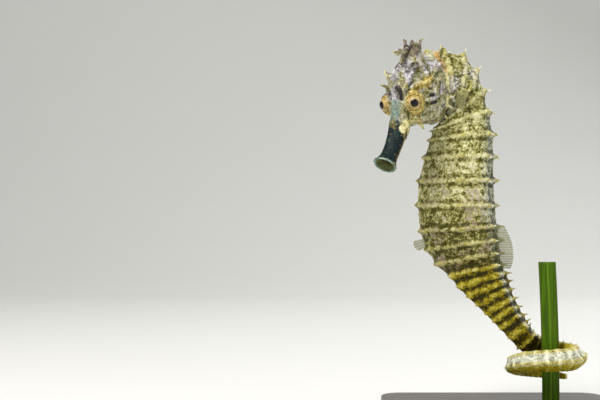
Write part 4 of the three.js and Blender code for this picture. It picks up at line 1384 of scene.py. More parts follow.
@dataclass
class SpineField:
    """Pointed spines that stand on the ridges, grown by Geometry Nodes from their roots."""

    waist: float = 0.45
    hook: float = 0.2
    sides: int = 10
    segments: int = 8
    tip_share: float = 0.2

    def tree(self, material: bpy.types.Material) -> tuple[bpy.types.NodeTree, dict[str, str]]:
        """The node tree that turns roots into spines.

        Args:
            material: the finish set on the spines.

        Returns:
            The tree and its inputs' identifiers by name.
        """
        group = bpy.data.node_groups.new("spine_field", "GeometryNodeTree")
        graph = Graph(group)
        names = {"Roots": group_input(group, "Roots", "NodeSocketGeometry")}
        names["Waist"] = group_input(group, "Waist", "NodeSocketFloat", self.waist)
        names["Hook"] = group_input(group, "Hook", "NodeSocketFloat", self.hook)
        group.interface.new_socket("Spines", in_out="OUTPUT", socket_type="NodeSocketGeometry")
        source = graph.add("NodeGroupInput")
        roots, waist, hook = (Wire(graph, source.socket.node.outputs[name]) for name in ("Roots", "Waist", "Hook"))
        shape = {"Vertices": self.sides, "Side Segments": self.segments, "Radius Top": self.tip_share,
                 "Radius Bottom": 1.0, "Depth": 1.0}
        cone = graph.add("GeometryNodeMeshCone", {}, shape, "Mesh")
        spot = graph.add("GeometryNodeInputPosition")
        parts = graph.add("ShaderNodeSeparateXYZ", {}, {0: spot})
        x, y, z = (Wire(graph, parts.socket.node.outputs[i]) for i in range(3))
        slim = 1.0 - (z * math.pi).sine() * waist
        bent = graph.add("ShaderNodeCombineXYZ", {}, {0: x * slim + z * z * hook, 1: y * slim, 2: z})
        marked = named_store(graph, cone, "spine", z * z)
        shaped = graph.add("GeometryNodeSetPosition", {}, {"Geometry": marked, "Position": bent})
        smooth = graph.add("GeometryNodeSetShadeSmooth", {}, {0: shaped})
        way = named_value(graph, "way", "FLOAT_VECTOR")
        tall, wide = named_value(graph, "tall"), named_value(graph, "wide")
        turn = graph.add("FunctionNodeAlignRotationToVector", {"axis": "Z"}, {"Vector": way})
        size = graph.add("ShaderNodeCombineXYZ", {}, {0: wide, 1: wide, 2: tall})
        inputs = {"Points": roots, "Instance": smooth, "Rotation": turn, "Scale": size}
        grown = graph.add("GeometryNodeInstanceOnPoints", {}, inputs)
        real = graph.add("GeometryNodeRealizeInstances", {}, {0: grown})
        dressed = graph.add("GeometryNodeSetMaterial", {}, {"Geometry": real, "Material": material})
        graph.add("NodeGroupOutput", {}, {"Spines": dressed})
        return group, names

    def build(self, name: str, roots: np.ndarray, ways: np.ndarray, tall: np.ndarray, wide: np.ndarray,
              rings: np.ndarray, material: bpy.types.Material) -> bpy.types.Object:
        """Grows the spines.

        Args:
            name: the piece's name.
            roots: where they stand, in millimetres.
            ways: their directions.
            tall: their lengths.
            wide: the radii of their feet.
            rings: the ring of each, for its colour.
            material: their finish.

        Returns:
            The spines as one mesh object.
        """
        mesh = bpy.data.meshes.new(name)
        mesh.from_pydata([tuple(p) for p in roots * MM], [], [])
        store_vector(mesh, "way", ways)
        facts = {"tall": tall * MM, "wide": wide * MM, "ring_number": rings, "crest": np.ones(len(rings))}
        for fact, values in facts.items():
            store(mesh, fact, values)
        thing = new_object(name, mesh)
        group, names = self.tree(material)
        modifier = thing.modifiers.new("spines", "NODES")
        modifier.node_group = group
        modifier[names["Waist"]] = self.waist
        modifier[names["Hook"]] = self.hook
        evaluated(thing)
        return thing


@dataclass
class GranuleField:
    """Small bony granules strewn over the skin by Geometry Nodes."""

    density: float = 2.3e6
    least: float = 0.075e-3
    most: float = 0.19e-3
    seed: int = 11

    def tree(self, material: bpy.types.Material) -> tuple[bpy.types.NodeTree, dict[str, str]]:
        """The node tree that turns the skin into its granules.

        Args:
            material: the finish set on the granules.

        Returns:
            The tree and its inputs' identifiers by name.
        """
        group = bpy.data.node_groups.new("granule_field", "GeometryNodeTree")
        graph = Graph(group)
        names = {"Skin": group_input(group, "Skin", "NodeSocketGeometry")}
        names["Density"] = group_input(group, "Density", "NodeSocketFloat", self.density)
        names["Least"] = group_input(group, "Least", "NodeSocketFloat", self.least)
        names["Most"] = group_input(group, "Most", "NodeSocketFloat", self.most)
        names["Seed"] = group_input(group, "Seed", "NodeSocketInt", self.seed)
        group.interface.new_socket("Granules", in_out="OUTPUT", socket_type="NodeSocketGeometry")
        source = graph.add("NodeGroupInput").socket.node
        skin, density, least, most, seed = (
            Wire(graph, source.outputs[name]) for name in ("Skin", "Density", "Least", "Most", "Seed")
        )
        share = density * named_value(graph, "grainy")
        strewn = graph.add("GeometryNodeDistributePointsOnFaces", {"distribute_method": "RANDOM"},
                           {"Mesh": skin, "Density": share, "Seed": seed}, "Points")
        turn = Wire(graph, strewn.socket.node.outputs["Rotation"])
        ball = graph.add("GeometryNodeMeshIcoSphere", {}, {"Radius": 1.0, "Subdivisions": 1}, "Mesh")
        smooth = graph.add("GeometryNodeSetShadeSmooth", {}, {0: ball})
        pick = graph.add("FunctionNodeRandomValue", {"data_type": "FLOAT"}, {"Min": 0.0, "Max": 1.0, "Seed": seed}, 1)
        size = least + pick * pick * (most - least)
        scale = graph.add("ShaderNodeCombineXYZ", {}, {0: size, 1: size, 2: size * 0.8})
        marked = named_store(graph, strewn, "granule", 0.4 + pick * 0.6)
        inputs = {"Points": marked, "Instance": smooth, "Rotation": turn, "Scale": scale}
        grown = graph.add("GeometryNodeInstanceOnPoints", {}, inputs)
        real = graph.add("GeometryNodeRealizeInstances", {}, {0: grown})
        dressed = graph.add("GeometryNodeSetMaterial", {}, {"Geometry": real, "Material": material})
        graph.add("NodeGroupOutput", {}, {"Granules": dressed})
        return group, names

    def build(self, skin: bpy.types.Object, material: bpy.types.Material) -> bpy.types.Object:
        """Strews the granules.

        Args:
            skin: the finished skin.
            material: their finish.

        Returns:
            The granules as one mesh object.
        """
        thing = new_object("skin_granules", skin.data.copy())
        group, names = self.tree(material)
        modifier = thing.modifiers.new("granules", "NODES")
        modifier.node_group = group
        for name, value in (("Density", self.density), ("Least", self.least), ("Most", self.most), ("Seed", self.seed)):
            modifier[names[name]] = value
        evaluated(thing)
        return thing


# ---------------------------------------------------------------- the skin


@dataclass(frozen=True)
class Marking:
    """A soft patch along a line on the head, the same on both sides, in millimetres."""

    name: str
    reach: float
    line: tuple

    def share(self, place: np.ndarray) -> np.ndarray:
        """How much of the patch each point has.

        Args:
            place: points in the head's frame.

        Returns:
            Shares from 0 to 1.
        """
        folded = place * np.array([1.0, 0.0, 1.0]) + np.abs(place) * np.array([0.0, 1.0, 0.0])
        line = np.array(self.line, float)
        apart = np.linalg.norm(folded - line[0], axis=1)
        for a, b in zip(line[:-1], line[1:]):
            along = np.clip((folded - a) @ (b - a) / np.sum((b - a) ** 2), 0, 1)
            apart = np.minimum(apart, np.linalg.norm(folded - a - along[:, None] * (b - a), axis=1))
        return np.exp(-((apart / (1.15 * self.reach)) ** 2.4))


MARKINGS = (
    Marking("gold", 0.95, ((-2.4, 3.6, 2.9), (-4.9, 4.0, 2.4), (-6.8, 4.5, 2.1), (-8.8, 4.7, 2.5))),
    Marking("gold", 0.8, ((-6.8, 4.2, 2.9), (-6.5, 4.9, 0.8))),
    Marking("gold", 1.1, ((-1.8, 3.4, -3.4), (-0.3, 2.9, -3.6), (0.9, 2.9, -3.4))),
    Marking("gold", 0.9, ((-0.9, 2.6, -4.8), (-0.5, 4.0, -7.7))),
    Marking("pale", 1.6, ((0.8, 2.8, -4.5), (2.6, 2.5, -4.2), (4.6, 2.3, -5.0))),
    Marking("pale", 0.8, ((-16.2, 3.9, 2.0), (-15.2, 4.9, -0.1), (-13.4, 6.0, -1.6), (-12.3, 5.9, -4.0),
                          (-11.2, 5.4, -6.4), (-10.4, 4.9, -8.2), (-9.9, 4.8, -9.7))),
    Marking("pale", 0.55, ((2.4, 0.0, 10.1), (2.2, 0.0, 8.8), (1.0, 0.0, 8.3))),
    Marking("pale", 0.6, ((0.9, 3.2, 5.6), (0.2, 2.7, 4.8))),
    Marking("orange", 0.95, ((-18.4, 1.9, 4.8), (-16.8, 2.6, 4.7), (-16.9, 3.2, 3.5), (-15.9, 4.3, 1.4))),
    Marking("dark", 0.6, ((-6.0, 5.1, -1.0), (-6.6, 5.2, -1.4))),
    Marking("dark", 0.5, ((-2.5, 5.3, -1.4), (-5.1, 4.7, -3.0), (-7.0, 5.3, -3.3))),
    # painted shadow: dark where the coronet's shelf shades the column below it
    Marking("dark", 0.9, ((-5.0, 0.0, 9.2), (-5.4, 2.0, 8.0), (-6.8, 3.2, 7.4))),
    # painted shade inside the coronet's dished top, over its own slate-purple colour
    Marking("dark", 1.2, ((-11.6, 0.0, 10.2), (-9.6, 0.0, 11.4), (-7.4, 0.0, 12.1))),
    Marking("dark", 0.7, ((0.4, 0.8, 4.3), (0.7, 1.3, 3.2), (1.1, 1.5, 2.0))),
    # mauve-brown colour with painted shade of the hollow at the coronet's top
    Marking("mauve", 2.6, ((-10.0, 0.0, 9.0), (-11.6, 0.0, 11.6))),
    Marking("mint", 1.25, ((2.2, 0.3, 1.2), (3.0, 0.4, -0.2), (4.0, 0.5, -1.6), (5.0, 0.6, -3.0))),
    Marking("lilac", 1.2, ((0.2, 0.0, 4.4), (1.5, 0.4, 2.4))),
    Marking("mint", 0.8, ((13.2, 0.0, -7.0), (13.9, 2.9, -10.0), (12.3, 0.0, -12.6))),
    Marking("lilac", 1.5, ((-2.1, 3.9, 5.3), (-3.3, 3.2, 6.9))),
    Marking("lilac", 1.3, ((-9.6, 3.7, 4.4), (-12.8, 3.4, 5.2))),
    Marking("lilac", 1.5, ((-14.6, 6.2, -3.2), (-13.6, 6.6, -5.4))),
)


@dataclass
class Skin:
    """The whole flesh as one closed surface with the facts that its markings read."""

    run: BodyRun
    ringed: RingedSkin
    head: Head
    coarse: float = 0.14
    fine: float = 0.12
    near_passes: int = 3
    wide_passes: int = 24

    def build(self) -> bpy.types.Object:
        """Joins the ringed body and the head, roughens them and stores the facts.

        Returns:
            The skin.
        """
        mesh, facts = self.ringed.build()
        LOG.info("ringed body: %d faces", len(mesh.polygons))
        points = vertex_array(mesh)[: len(facts["ring"])]
        body = new_object("seahorse_skin", mesh)
        head = self.head.build()
        LOG.info("head: %d faces", len(head.data.polygons))
        boolean(body, head, "UNION")
        self._store_facts(body.data, points, facts)
        self._roughen(body.data)
        self._store_relief(body.data)
        body.data.shade_smooth()
        body.name = body.data.name = "seahorse_skin"
        return body

    def _store_facts(self, mesh: bpy.types.Mesh, points: np.ndarray, facts: dict[str, np.ndarray]) -> None:
        """Stores what the nearest part of the ringed body says, and the place on the head."""
        tree = kdtree.KDTree(len(points))
        for i, point in enumerate(points):
            tree.insert(point, i)
        tree.balance()
        skin = vertex_array(mesh)
        found = [tree.find(point) for point in skin]
        index = np.array([f[1] for f in found])
        away = np.array([f[2] for f in found])
        place = self.head.place.into(skin)
        near_head = (place[:, 0] > -21) & (np.abs(place[:, 1]) < 9) & (place[:, 2] > -13)
        head = np.clip((away - 0.12) / 0.25, 0, 1) * near_head
        body = 1 - head
        store(mesh, "on_head", head)
        for name in ("crest", "groove", "ridge"):
            store(mesh, name, body * facts[name][index])
        for name in ("back", "side", "ring"):
            store(mesh, name if name != "ring" else "ring_number", facts[name][index])
        paint = self._paint(place)
        for name, share in paint.items():
            store(mesh, f"paint_{name}", share)
        bare = np.maximum.reduce([paint["snout"], paint["mouth"], paint["gold"] * head])
        coil = np.clip((facts["ring"][index] - 19) / 3, 0, 1)
        store(mesh, "grainy", (1 - 0.92 * bare) * (0.55 + 0.7 * body * facts["crest"][index]) * (1 - 0.5 * coil))

    def _paint(self, place: np.ndarray) -> dict[str, np.ndarray]:
        """The patches of the head, by name, for points of the head's frame."""
        names = ("gold", "pale", "orange", "dark", "mauve", "mint", "lilac", "snout", "mouth")
        shares = {name: np.zeros(len(place)) for name in names}
        for marking in MARKINGS:
            shares[marking.name] = np.maximum(shares[marking.name], marking.share(place))
        for side in Side:
            apart = np.linalg.norm(place - self.head.eyes.middle(side), axis=1)
            outer = np.clip((place[:, 1] * side.value - 2.2) / 1.4, 0, 1)
            shares["gold"] = np.maximum(shares["gold"], np.clip((3.9 - apart) / 0.5, 0, 1) * outer)
        along = (place[:, 0] - 4.4) * 0.887 - (place[:, 2] + 5.25) * 0.46
        above = (place[:, 0] - 4.4) * 0.46 + (place[:, 2] + 5.25) * 0.887
        shares["snout"] = np.clip((along + 2.4) / 3.0, 0, 1) * np.clip((10.4 - along) / 0.5, 0, 1)
        shares["mint"] = np.maximum(0.68 * shares["mint"], np.clip((along - 9.9) / 0.5, 0, 1))
        funnel = np.hypot(place[:, 1], above)
        mouth = 1.6 + 0.95 * np.clip((along - 9.3) / 0.5, 0, 1)
        shares["mouth"] = np.clip((along - 8.4) / 0.5, 0, 1) * np.clip((mouth - funnel) / 0.3, 0, 1)
        foot, top = np.array(self.head.column_foot), np.array(self.head.column_top)
        high = (place - foot) @ unit(top - foot)
        reach = np.linalg.norm(place - foot - high[:, None] * unit(top - foot), axis=1)
        tips = np.clip((reach - 2.3) / 1.0, 0, 1) * np.clip((high - 3.0) / 1.0, 0, 1)
        shares["pale"] = np.maximum(shares["pale"], 0.75 * tips)
        shares["gold"] = np.maximum(shares["gold"], 0.55 * shares["snout"] * np.clip((-0.2 - above) / 0.8, 0, 1))
        return shares

    def _store_relief(self, mesh: bpy.types.Mesh) -> None:
        """Stores how far each vertex stands out of its surroundings, near and wide, from -1 to 1; the skin's colour
        uses these for painted shade in hollows and painted light on bumps.
        """
        edges = np.empty(len(mesh.edges) * 2, dtype=np.int64)
        mesh.edges.foreach_get("vertices", edges)
        edges = edges.reshape(-1, 2)
        points, normals = vertex_array(mesh), normal_array(mesh)
        count = np.bincount(edges.ravel(), minlength=len(points)).astype(float)[:, None]
        smooth = points
        for step in range(1, self.wide_passes + 1):
            total = np.stack([
                np.bincount(edges[:, 0], smooth[edges[:, 1], k], len(points))
                + np.bincount(edges[:, 1], smooth[edges[:, 0], k], len(points)) for k in range(3)
            ], axis=1)
            smooth = 0.5 * smooth + 0.5 * total / np.maximum(count, 1)
            if step == self.near_passes:
                near = np.sum((points - smooth) * normals, axis=1)
        wide = np.sum((points - smooth) * normals, axis=1)
        store(mesh, "relief_near", np.clip(near / 0.04, -1, 1))
        store(mesh, "relief_wide", np.clip(wide / 0.22, -1, 1))
        store(mesh, "granule", np.zeros(len(points)))

    def _roughen(self, mesh: bpy.types.Mesh) -> None:
        """Moves the surface by small bony grains."""
        points, normals = vertex_array(mesh), normal_array(mesh)
        place = self.head.place.into(points)
        calm = np.clip((place[:, 0] - 2.0) / 5.0, 0, 1) * (np.abs(place[:, 1]) < 5) * (place[:, 2] > -13)
        for side in Side:
            apart = np.linalg.norm(place - self.head.eyes.middle(side), axis=1)
            calm = np.maximum(calm, np.clip((3.9 - apart) / 0.8, 0, 1))
        grain = np.array([
            self.coarse * noise.noise(Vector(p * 0.62)) + self.fine * noise.noise(Vector(p * 1.45 + 7.0))
            for p in points
        ])
        set_vertices(mesh, points + normals * (grain * (1 - 0.75 * calm) - 0.03)[:, None])


# ---------------------------------------------------------------- finishes


Stops = tuple[tuple[float, Colour], ...]


@dataclass(frozen=True)
class SkinFinish:
    """Speckled bony skin, each region a ramp of colours driven by one uneven tone."""

    trunk: Stops = ((0.0, (0.02, 0.018, 0.003)), (0.36, (0.07, 0.064, 0.008)), (0.45, (0.20, 0.185, 0.042)),
                    (0.53, (0.40, 0.38, 0.15)), (0.63, (0.64, 0.62, 0.34)), (0.80, (0.88, 0.86, 0.62)))
    tail: Stops = ((0.0, (0.010, 0.008, 0.001)), (0.36, (0.040, 0.032, 0.002)), (0.47, (0.13, 0.10, 0.004)),
                   (0.57, (0.28, 0.22, 0.004)), (0.72, (0.50, 0.42, 0.018)), (0.88, (0.72, 0.66, 0.20)))
    back: Stops = ((0.0, (0.012, 0.014, 0.010)), (0.40, (0.05, 0.055, 0.035)), (0.50, (0.20, 0.21, 0.13)),
                   (0.60, (0.48, 0.48, 0.36)), (0.78, (0.88, 0.87, 0.72)))
    face: Stops = ((0.0, (0.025, 0.02, 0.01)), (0.38, (0.09, 0.08, 0.022)), (0.48, (0.22, 0.20, 0.075)),
                   (0.57, (0.38, 0.36, 0.20)), (0.68, (0.58, 0.55, 0.38)), (0.84, (0.82, 0.80, 0.62)))
    snout: Stops = ((0.0, (0.004, 0.008, 0.008)), (0.46, (0.006, 0.013, 0.017)), (0.64, (0.013, 0.028, 0.026)),
                    (0.76, (0.07, 0.09, 0.05)), (0.92, (0.26, 0.32, 0.25)))
    gold: Stops = ((0.30, (0.11, 0.06, 0.010)), (0.44, (0.30, 0.21, 0.035)), (0.54, (0.52, 0.41, 0.11)),
                   (0.70, (0.76, 0.68, 0.33)))
    pale: Stops = ((0.30, (0.22, 0.19, 0.06)), (0.42, (0.54, 0.47, 0.17)), (0.54, (0.78, 0.72, 0.36)),
                   (0.76, (0.92, 0.89, 0.66)))
    orange: Stops = ((0.30, (0.16, 0.08, 0.015)), (0.50, (0.46, 0.27, 0.08)), (0.70, (0.74, 0.54, 0.27)))
    # hollow ramp: the coronet's mauve-brown with cream spots, its dark end a painted shade in the hollow top
    hollow: Stops = ((0.30, (0.03, 0.02, 0.018)), (0.50, (0.10, 0.075, 0.06)), (0.64, (0.22, 0.17, 0.13)),
                     (0.78, (0.75, 0.70, 0.50)))
    # dark ramp: the dark speckles, and also the painted shadows on the coronet
    dark: Stops = ((0.30, (0.008, 0.007, 0.006)), (0.50, (0.035, 0.03, 0.028)), (0.72, (0.20, 0.16, 0.15)))
    mint: Stops = ((0.30, (0.04, 0.06, 0.05)), (0.48, (0.11, 0.16, 0.14)), (0.62, (0.25, 0.34, 0.29)),
                   (0.80, (0.60, 0.70, 0.60)))
    lilac: Stops = ((0.30, (0.07, 0.06, 0.06)), (0.46, (0.30, 0.27, 0.30)), (0.60, (0.60, 0.57, 0.58)),
                    (0.80, (0.88, 0.87, 0.86)))
    mouth: Stops = ((0.30, (0.03, 0.035, 0.01)), (0.50, (0.085, 0.10, 0.03)), (0.70, (0.15, 0.18, 0.07)))
    mauve: Colour = (0.27, 0.19, 0.17)
    crest: Colour = (0.56, 0.48, 0.17)
    knob: Colour = (0.72, 0.64, 0.24)
    ochre: Colour = (0.43, 0.375, 0.075)
    white: Colour = (0.84, 0.84, 0.66)

    @staticmethod
    def _ramp(g: Graph, tone: Wire, stops: Stops) -> Wire:
        """A colour ramp over the tone."""
        return g.add("ShaderNodeValToRGB", {"stops": stops}, {0: tone})

    def material(self) -> bpy.types.Material:
        """The skin's material."""
        material, g = new_material("seahorse_skin")
        place = g.place()
        crest, groove = g.attribute("crest"), g.attribute("groove")
        ridge, back, side = g.attribute("ridge"), g.attribute("back"), g.attribute("side")
        head, ring, grain = g.attribute("on_head"), g.attribute("ring_number"), g.attribute("granule")
        near, wide_relief = g.attribute("relief_near"), g.attribute("relief_wide")
        cloud, mottle = g.noise(place, 170.0, 2.0), g.noise(place, 640.0, 3.0, 0.6)
        speck = g.noise(place, 1900.0, 2.0, 0.7)
        tail = ring.step(10.2, 12.4)
        coil = ring.step(21.5, 24.0)
        tone = speck * 0.40 + mottle * 0.42 + cloud * 0.18
        tone = (tone - 0.5) * (1.7 - coil * 0.6) + 0.5
        # painted shade and light: relief_near and relief_wide darken the tone in hollows and lighten it on bumps
        tone = tone + near * 0.045 + wide_relief * (0.035 + tail * 0.06) * (1.0 - head * 0.3) + grain * 0.10
        # painted shadow: the tone darkens in the groove under each crest, less so on the tail
        tone = tone + crest * (0.015 + tail * 0.06) - groove * (0.06 - tail * 0.06) * (1.0 - coil)
        tone = tone + tail * (1.0 - coil) * (crest.step(0.03, 0.25) - 0.62) * 0.17
        lower = ring.step(7.6, 9.0) * 0.075
        trunk = self._ramp(g, tone - lower + 0.02, self.trunk)
        trunk = g.blend(ring.step(5.6, 8.0) * cloud.step(0.46, 0.58) * mottle.step(0.46, 0.56) * 0.65, trunk, self.mauve)
        bluish = g.blend(tone.step(0.42, 0.62), self.lilac[0][1], self.lilac[2][1])
        trunk = g.blend(ring.step(3.6, 1.0) * cloud.step(0.44, 0.60) * 0.75, trunk, bluish)
        yellow = self._ramp(g, tone - 0.05 + coil * 0.18, self.tail)
        colour = g.blend(tail, trunk, yellow)
        dorsal = back.step(0.80, 0.90) * ring.step(0.5, 2.0)
        far = side.step(0.35, -0.35) * (1.0 - coil)
        backs = self._ramp(g, tone + 0.05 - tail * 0.09 + coil * 0.13, self.back)
        colour = g.blend(dorsal * (1.0 - far * tail * 0.75) * (1.0 - ridge * 0.8), colour, backs)
        dots = g.cells(place, 1250.0).step(0.30, 0.18) * speck.step(0.62, 0.50)
        colour = g.blend(dots * (0.55 + coil * dorsal * 0.4) * (1.0 - crest * 0.7) * (1.0 - grain), colour, self.dark[0][1])
        flat = 1.0 - coil
        colour = g.blend(crest * mottle.step(0.40, 0.58) * (0.34 - tail * 0.14) * flat, colour, self.crest)
        knobs = g.blend(tail, self.ochre, self.knob)
        crossing = (ridge * crest).step(0.2, 0.65) * (mottle * 0.5 + speck * 0.5).step(0.36, 0.52)
        colour = g.blend(crossing * 0.8 * flat, colour, knobs)
        colour = g.blend(head, colour, self._head(g, tone, mottle, cloud))
        colour = g.blend(g.attribute("spine"), colour, self.white)
        height = speck * 0.6 + mottle * 0.5
        surface(g, {
            "Base Color": colour, "Roughness": 0.46 + speck * 0.2, "Normal": g.bump(height, 0.00028, 0.6),
            "Subsurface Weight": 0.05, "Subsurface Scale": 0.0008, "Specular IOR Level": 0.14,
        })
        return material

    def _head(self, g: Graph, tone: Wire, mottle: Wire, cloud: Wire) -> Wire:
        """The head's colour with its patches."""
        colour = self._ramp(g, tone + 0.045, self.face)
        loose = g.noise(g.place(), 330.0, 3.0)
        parts = g.add("ShaderNodeSeparateXYZ", {}, {0: g.place()})
        crown = Wire(g, parts.socket.node.outputs[2]).step(0.0800, 0.0850)
        colour = g.blend(loose.step(0.49, 0.58) * (0.25 + crown * 0.6), colour, self._ramp(g, tone, self.lilac))
        # the mauve and dark layers also hold painted shade on the coronet
        layers = (
            ("paint_lilac", self.lilac), ("paint_mauve", self.hollow), ("paint_dark", self.dark), ("paint_mint", self.mint),
            ("paint_snout", self.snout), ("paint_gold", self.gold), ("paint_pale", self.pale),
            ("paint_orange", self.orange), ("paint_mouth", self.mouth),
        )
        for name, stops in layers:
            share = (g.attribute(name) * (1.35 + (mottle - 0.5) * 5.0 + (cloud - 0.5) * 2.5)).step(0.4, 1.0)
            colour = g.blend(share, colour, self._ramp(g, tone, stops))
        return colour


@dataclass(frozen=True)
class EyeFinish:
    """A golden iris with brown flecks round a black pupil."""

    gold: Colour = (0.62, 0.50, 0.19)
    deep: Colour = (0.40, 0.27, 0.07)
    brown: Colour = (0.10, 0.05, 0.015)
    pink: Colour = (0.50, 0.32, 0.23)
    black: Colour = (0.003, 0.003, 0.004)
    pupil: float = 0.98

    def material(self) -> bpy.types.Material:
        """The eye's material."""
        material, g = new_material("eye_wet")
        spot = g.attribute("gaze_place", "Vector")
        parts = g.add("ShaderNodeSeparateXYZ", {}, {0: spot})
        x, y = (Wire(g, parts.socket.node.outputs[i]) for i in range(2))
        radius = (x * x + y * y) ** 0.5
        angle = g.add("ShaderNodeMath", {"operation": "ARCTAN2"}, {0: y, 1: x})
        wander = g.noise(spot, 1.3, 3.0)
        fleck = g.noise(spot, 3.2, 2.0, 0.6)
        colour = g.blend(wander.step(0.36, 0.62), self.gold, self.deep)
        streak = ((angle + wander * 2.0) * 7.0).sine().step(0.2, 0.95)
        colour = g.blend(streak * radius.step(1.9, 1.2) * 0.45, colour, self.deep)
        colour = g.blend(fleck.step(0.53, 0.62) * 0.8, colour, self.brown)
        arc = radius.step(self.pupil + 0.45, self.pupil + 0.22) * (y + wander * 0.8).step(0.0, 0.7)
        colour = g.blend(arc * 0.5, colour, self.pink)
        colour = g.blend(radius.step(self.pupil + 0.13, self.pupil + 0.07) * 0.8, colour, self.deep)
        colour = g.blend(radius.step(self.pupil + 0.04, self.pupil - 0.03), colour, self.black)
        surface(g, {"Base Color": colour, "Roughness": 0.3, "Coat Weight": 0.15, "Coat Roughness": 0.06,
                    "Specular IOR Level": 0.25})
        return material


@dataclass(frozen=True)
class FinFinish:
    """A clear web with pale speckled rays."""

    web: Colour = (0.22, 0.23, 0.10)
    ray: Colour = (0.34, 0.32, 0.13)
    speck: Colour = (0.05, 0.045, 0.015)

    def material(self) -> bpy.types.Material:
        """The fins' material."""
        material, g = new_material("fin_web")
        ray, share = g.attribute("fin_ray"), g.attribute("fin_share")
        specks = g.cells(g.place(), 1500.0).step(0.3, 0.12) * 0.6
        colour = g.blend(ray, self.web, self.ray)
        colour = g.blend(specks * ray, colour, self.speck)
        alpha = (0.3 + ray * 0.55 + share.step(0.4, 0.0) * 0.3).least(1.0)
        surface(g, {"Base Color": colour, "Roughness": 0.3, "Alpha": alpha, "Coat Weight": 0.2})
        return material


@dataclass(frozen=True)
class LeafFinish:
    """A smooth green leaf with parallel veins and a paler midrib."""

    green: Colour = (0.040, 0.092, 0.001)
    light: Colour = (0.072, 0.150, 0.002)
    rib: Colour = (0.14, 0.25, 0.012)
    brown: Colour = (0.12, 0.06, 0.01)

    def material(self) -> bpy.types.Material:
        """The leaf's material."""
        material, g = new_material("leaf")
        place = g.place()
        across = g.attribute("blade_across")
        long_noise = g.noise(g.stretched(place, (1.0, 1.0, 0.06)), 1400.0, 3.0)
        colour = g.blend(long_noise.step(0.35, 0.65), self.green, self.light)
        lines = (across * 2 * math.pi * 9.0).sine().absolute()
        colour = g.blend(lines.step(0.35, 0.0) * 0.35, colour, self.light)
        colour = g.blend(across.absolute().step(0.06, 0.015) * 0.8, colour, self.rib)
        spots = g.cells(g.stretched(place, (1.0, 1.0, 0.4)), 420.0).step(0.16, 0.08)
        colour = g.blend(spots * 0.7, colour, self.brown)
        colour = g.blend(across.absolute().step(0.46, 0.5) * 0.5, colour, self.brown)
        normal = g.bump(lines * 0.5 + long_noise * 0.4, 0.0002, 0.4)
        surface(g, {"Base Color": colour, "Roughness": 0.4 + long_noise * 0.2, "Normal": normal,
                    "Specular IOR Level": 0.12, "Subsurface Weight": 0.1, "Subsurface Scale": 0.001})
        return material


@dataclass(frozen=True)
class WoodFinish:
    """Dark stained hardwood under satin varnish."""

    light: Colour = (0.060, 0.032, 0.017)
    deep: Colour = (0.018, 0.010, 0.006)

    def material(self) -> bpy.types.Material:
        """The base's material."""
        material, g = new_material("stained_wood")
        place = g.place()
        warped = g.stretched(place, (0.12, 1.0, 1.0))
        rings = g.noise(warped, 380.0, 4.0, 0.6)
        pores = g.noise(g.stretched(place, (0.05, 1.0, 1.0)), 2600.0, 2.0, 0.5)
        colour = g.blend(rings.step(0.35, 0.65), self.deep, self.light)
        colour = g.blend(pores.step(0.56, 0.68) * 0.6, colour, self.deep)
        normal = g.bump(pores, 0.0001, 0.3)
        surface(g, {"Base Color": colour, "Roughness": 0.36 + pores * 0.12, "Normal": normal,
                    "Coat Weight": 0.35, "Coat Roughness": 0.18})
        return material


@dataclass(frozen=True)
class SteelFinish:
    """Brushed steel."""

    tone: Colour = (0.56, 0.57, 0.58)

    def material(self) -> bpy.types.Material:
        """The rod's material."""
        material, g = new_material("brushed_steel")
        brushed = g.noise(g.stretched(g.place(), (1.0, 1.0, 14.0)), 700.0, 2.0)
        colour = g.blend(brushed.step(0.3, 0.7), self.tone, (0.68, 0.68, 0.69))
        surface(g, {"Base Color": colour, "Metallic": 1.0, "Roughness": 0.26 + brushed * 0.14})
        return material


@dataclass(frozen=True)
class FloorFinish:
    """Plain pale floor."""

    tone: Colour = (0.80, 0.80, 0.77)

    def material(self) -> bpy.types.Material:
        """The floor's material."""
        material, g = new_material("pale_floor")
        faint = g.noise(g.place(), 30.0, 2.0)
        colour = g.blend(faint, self.tone, (0.82, 0.82, 0.79))
        surface(g, {"Base Color": colour, "Roughness": 0.8})
        return material


# ---------------------------------------------------------------- studio


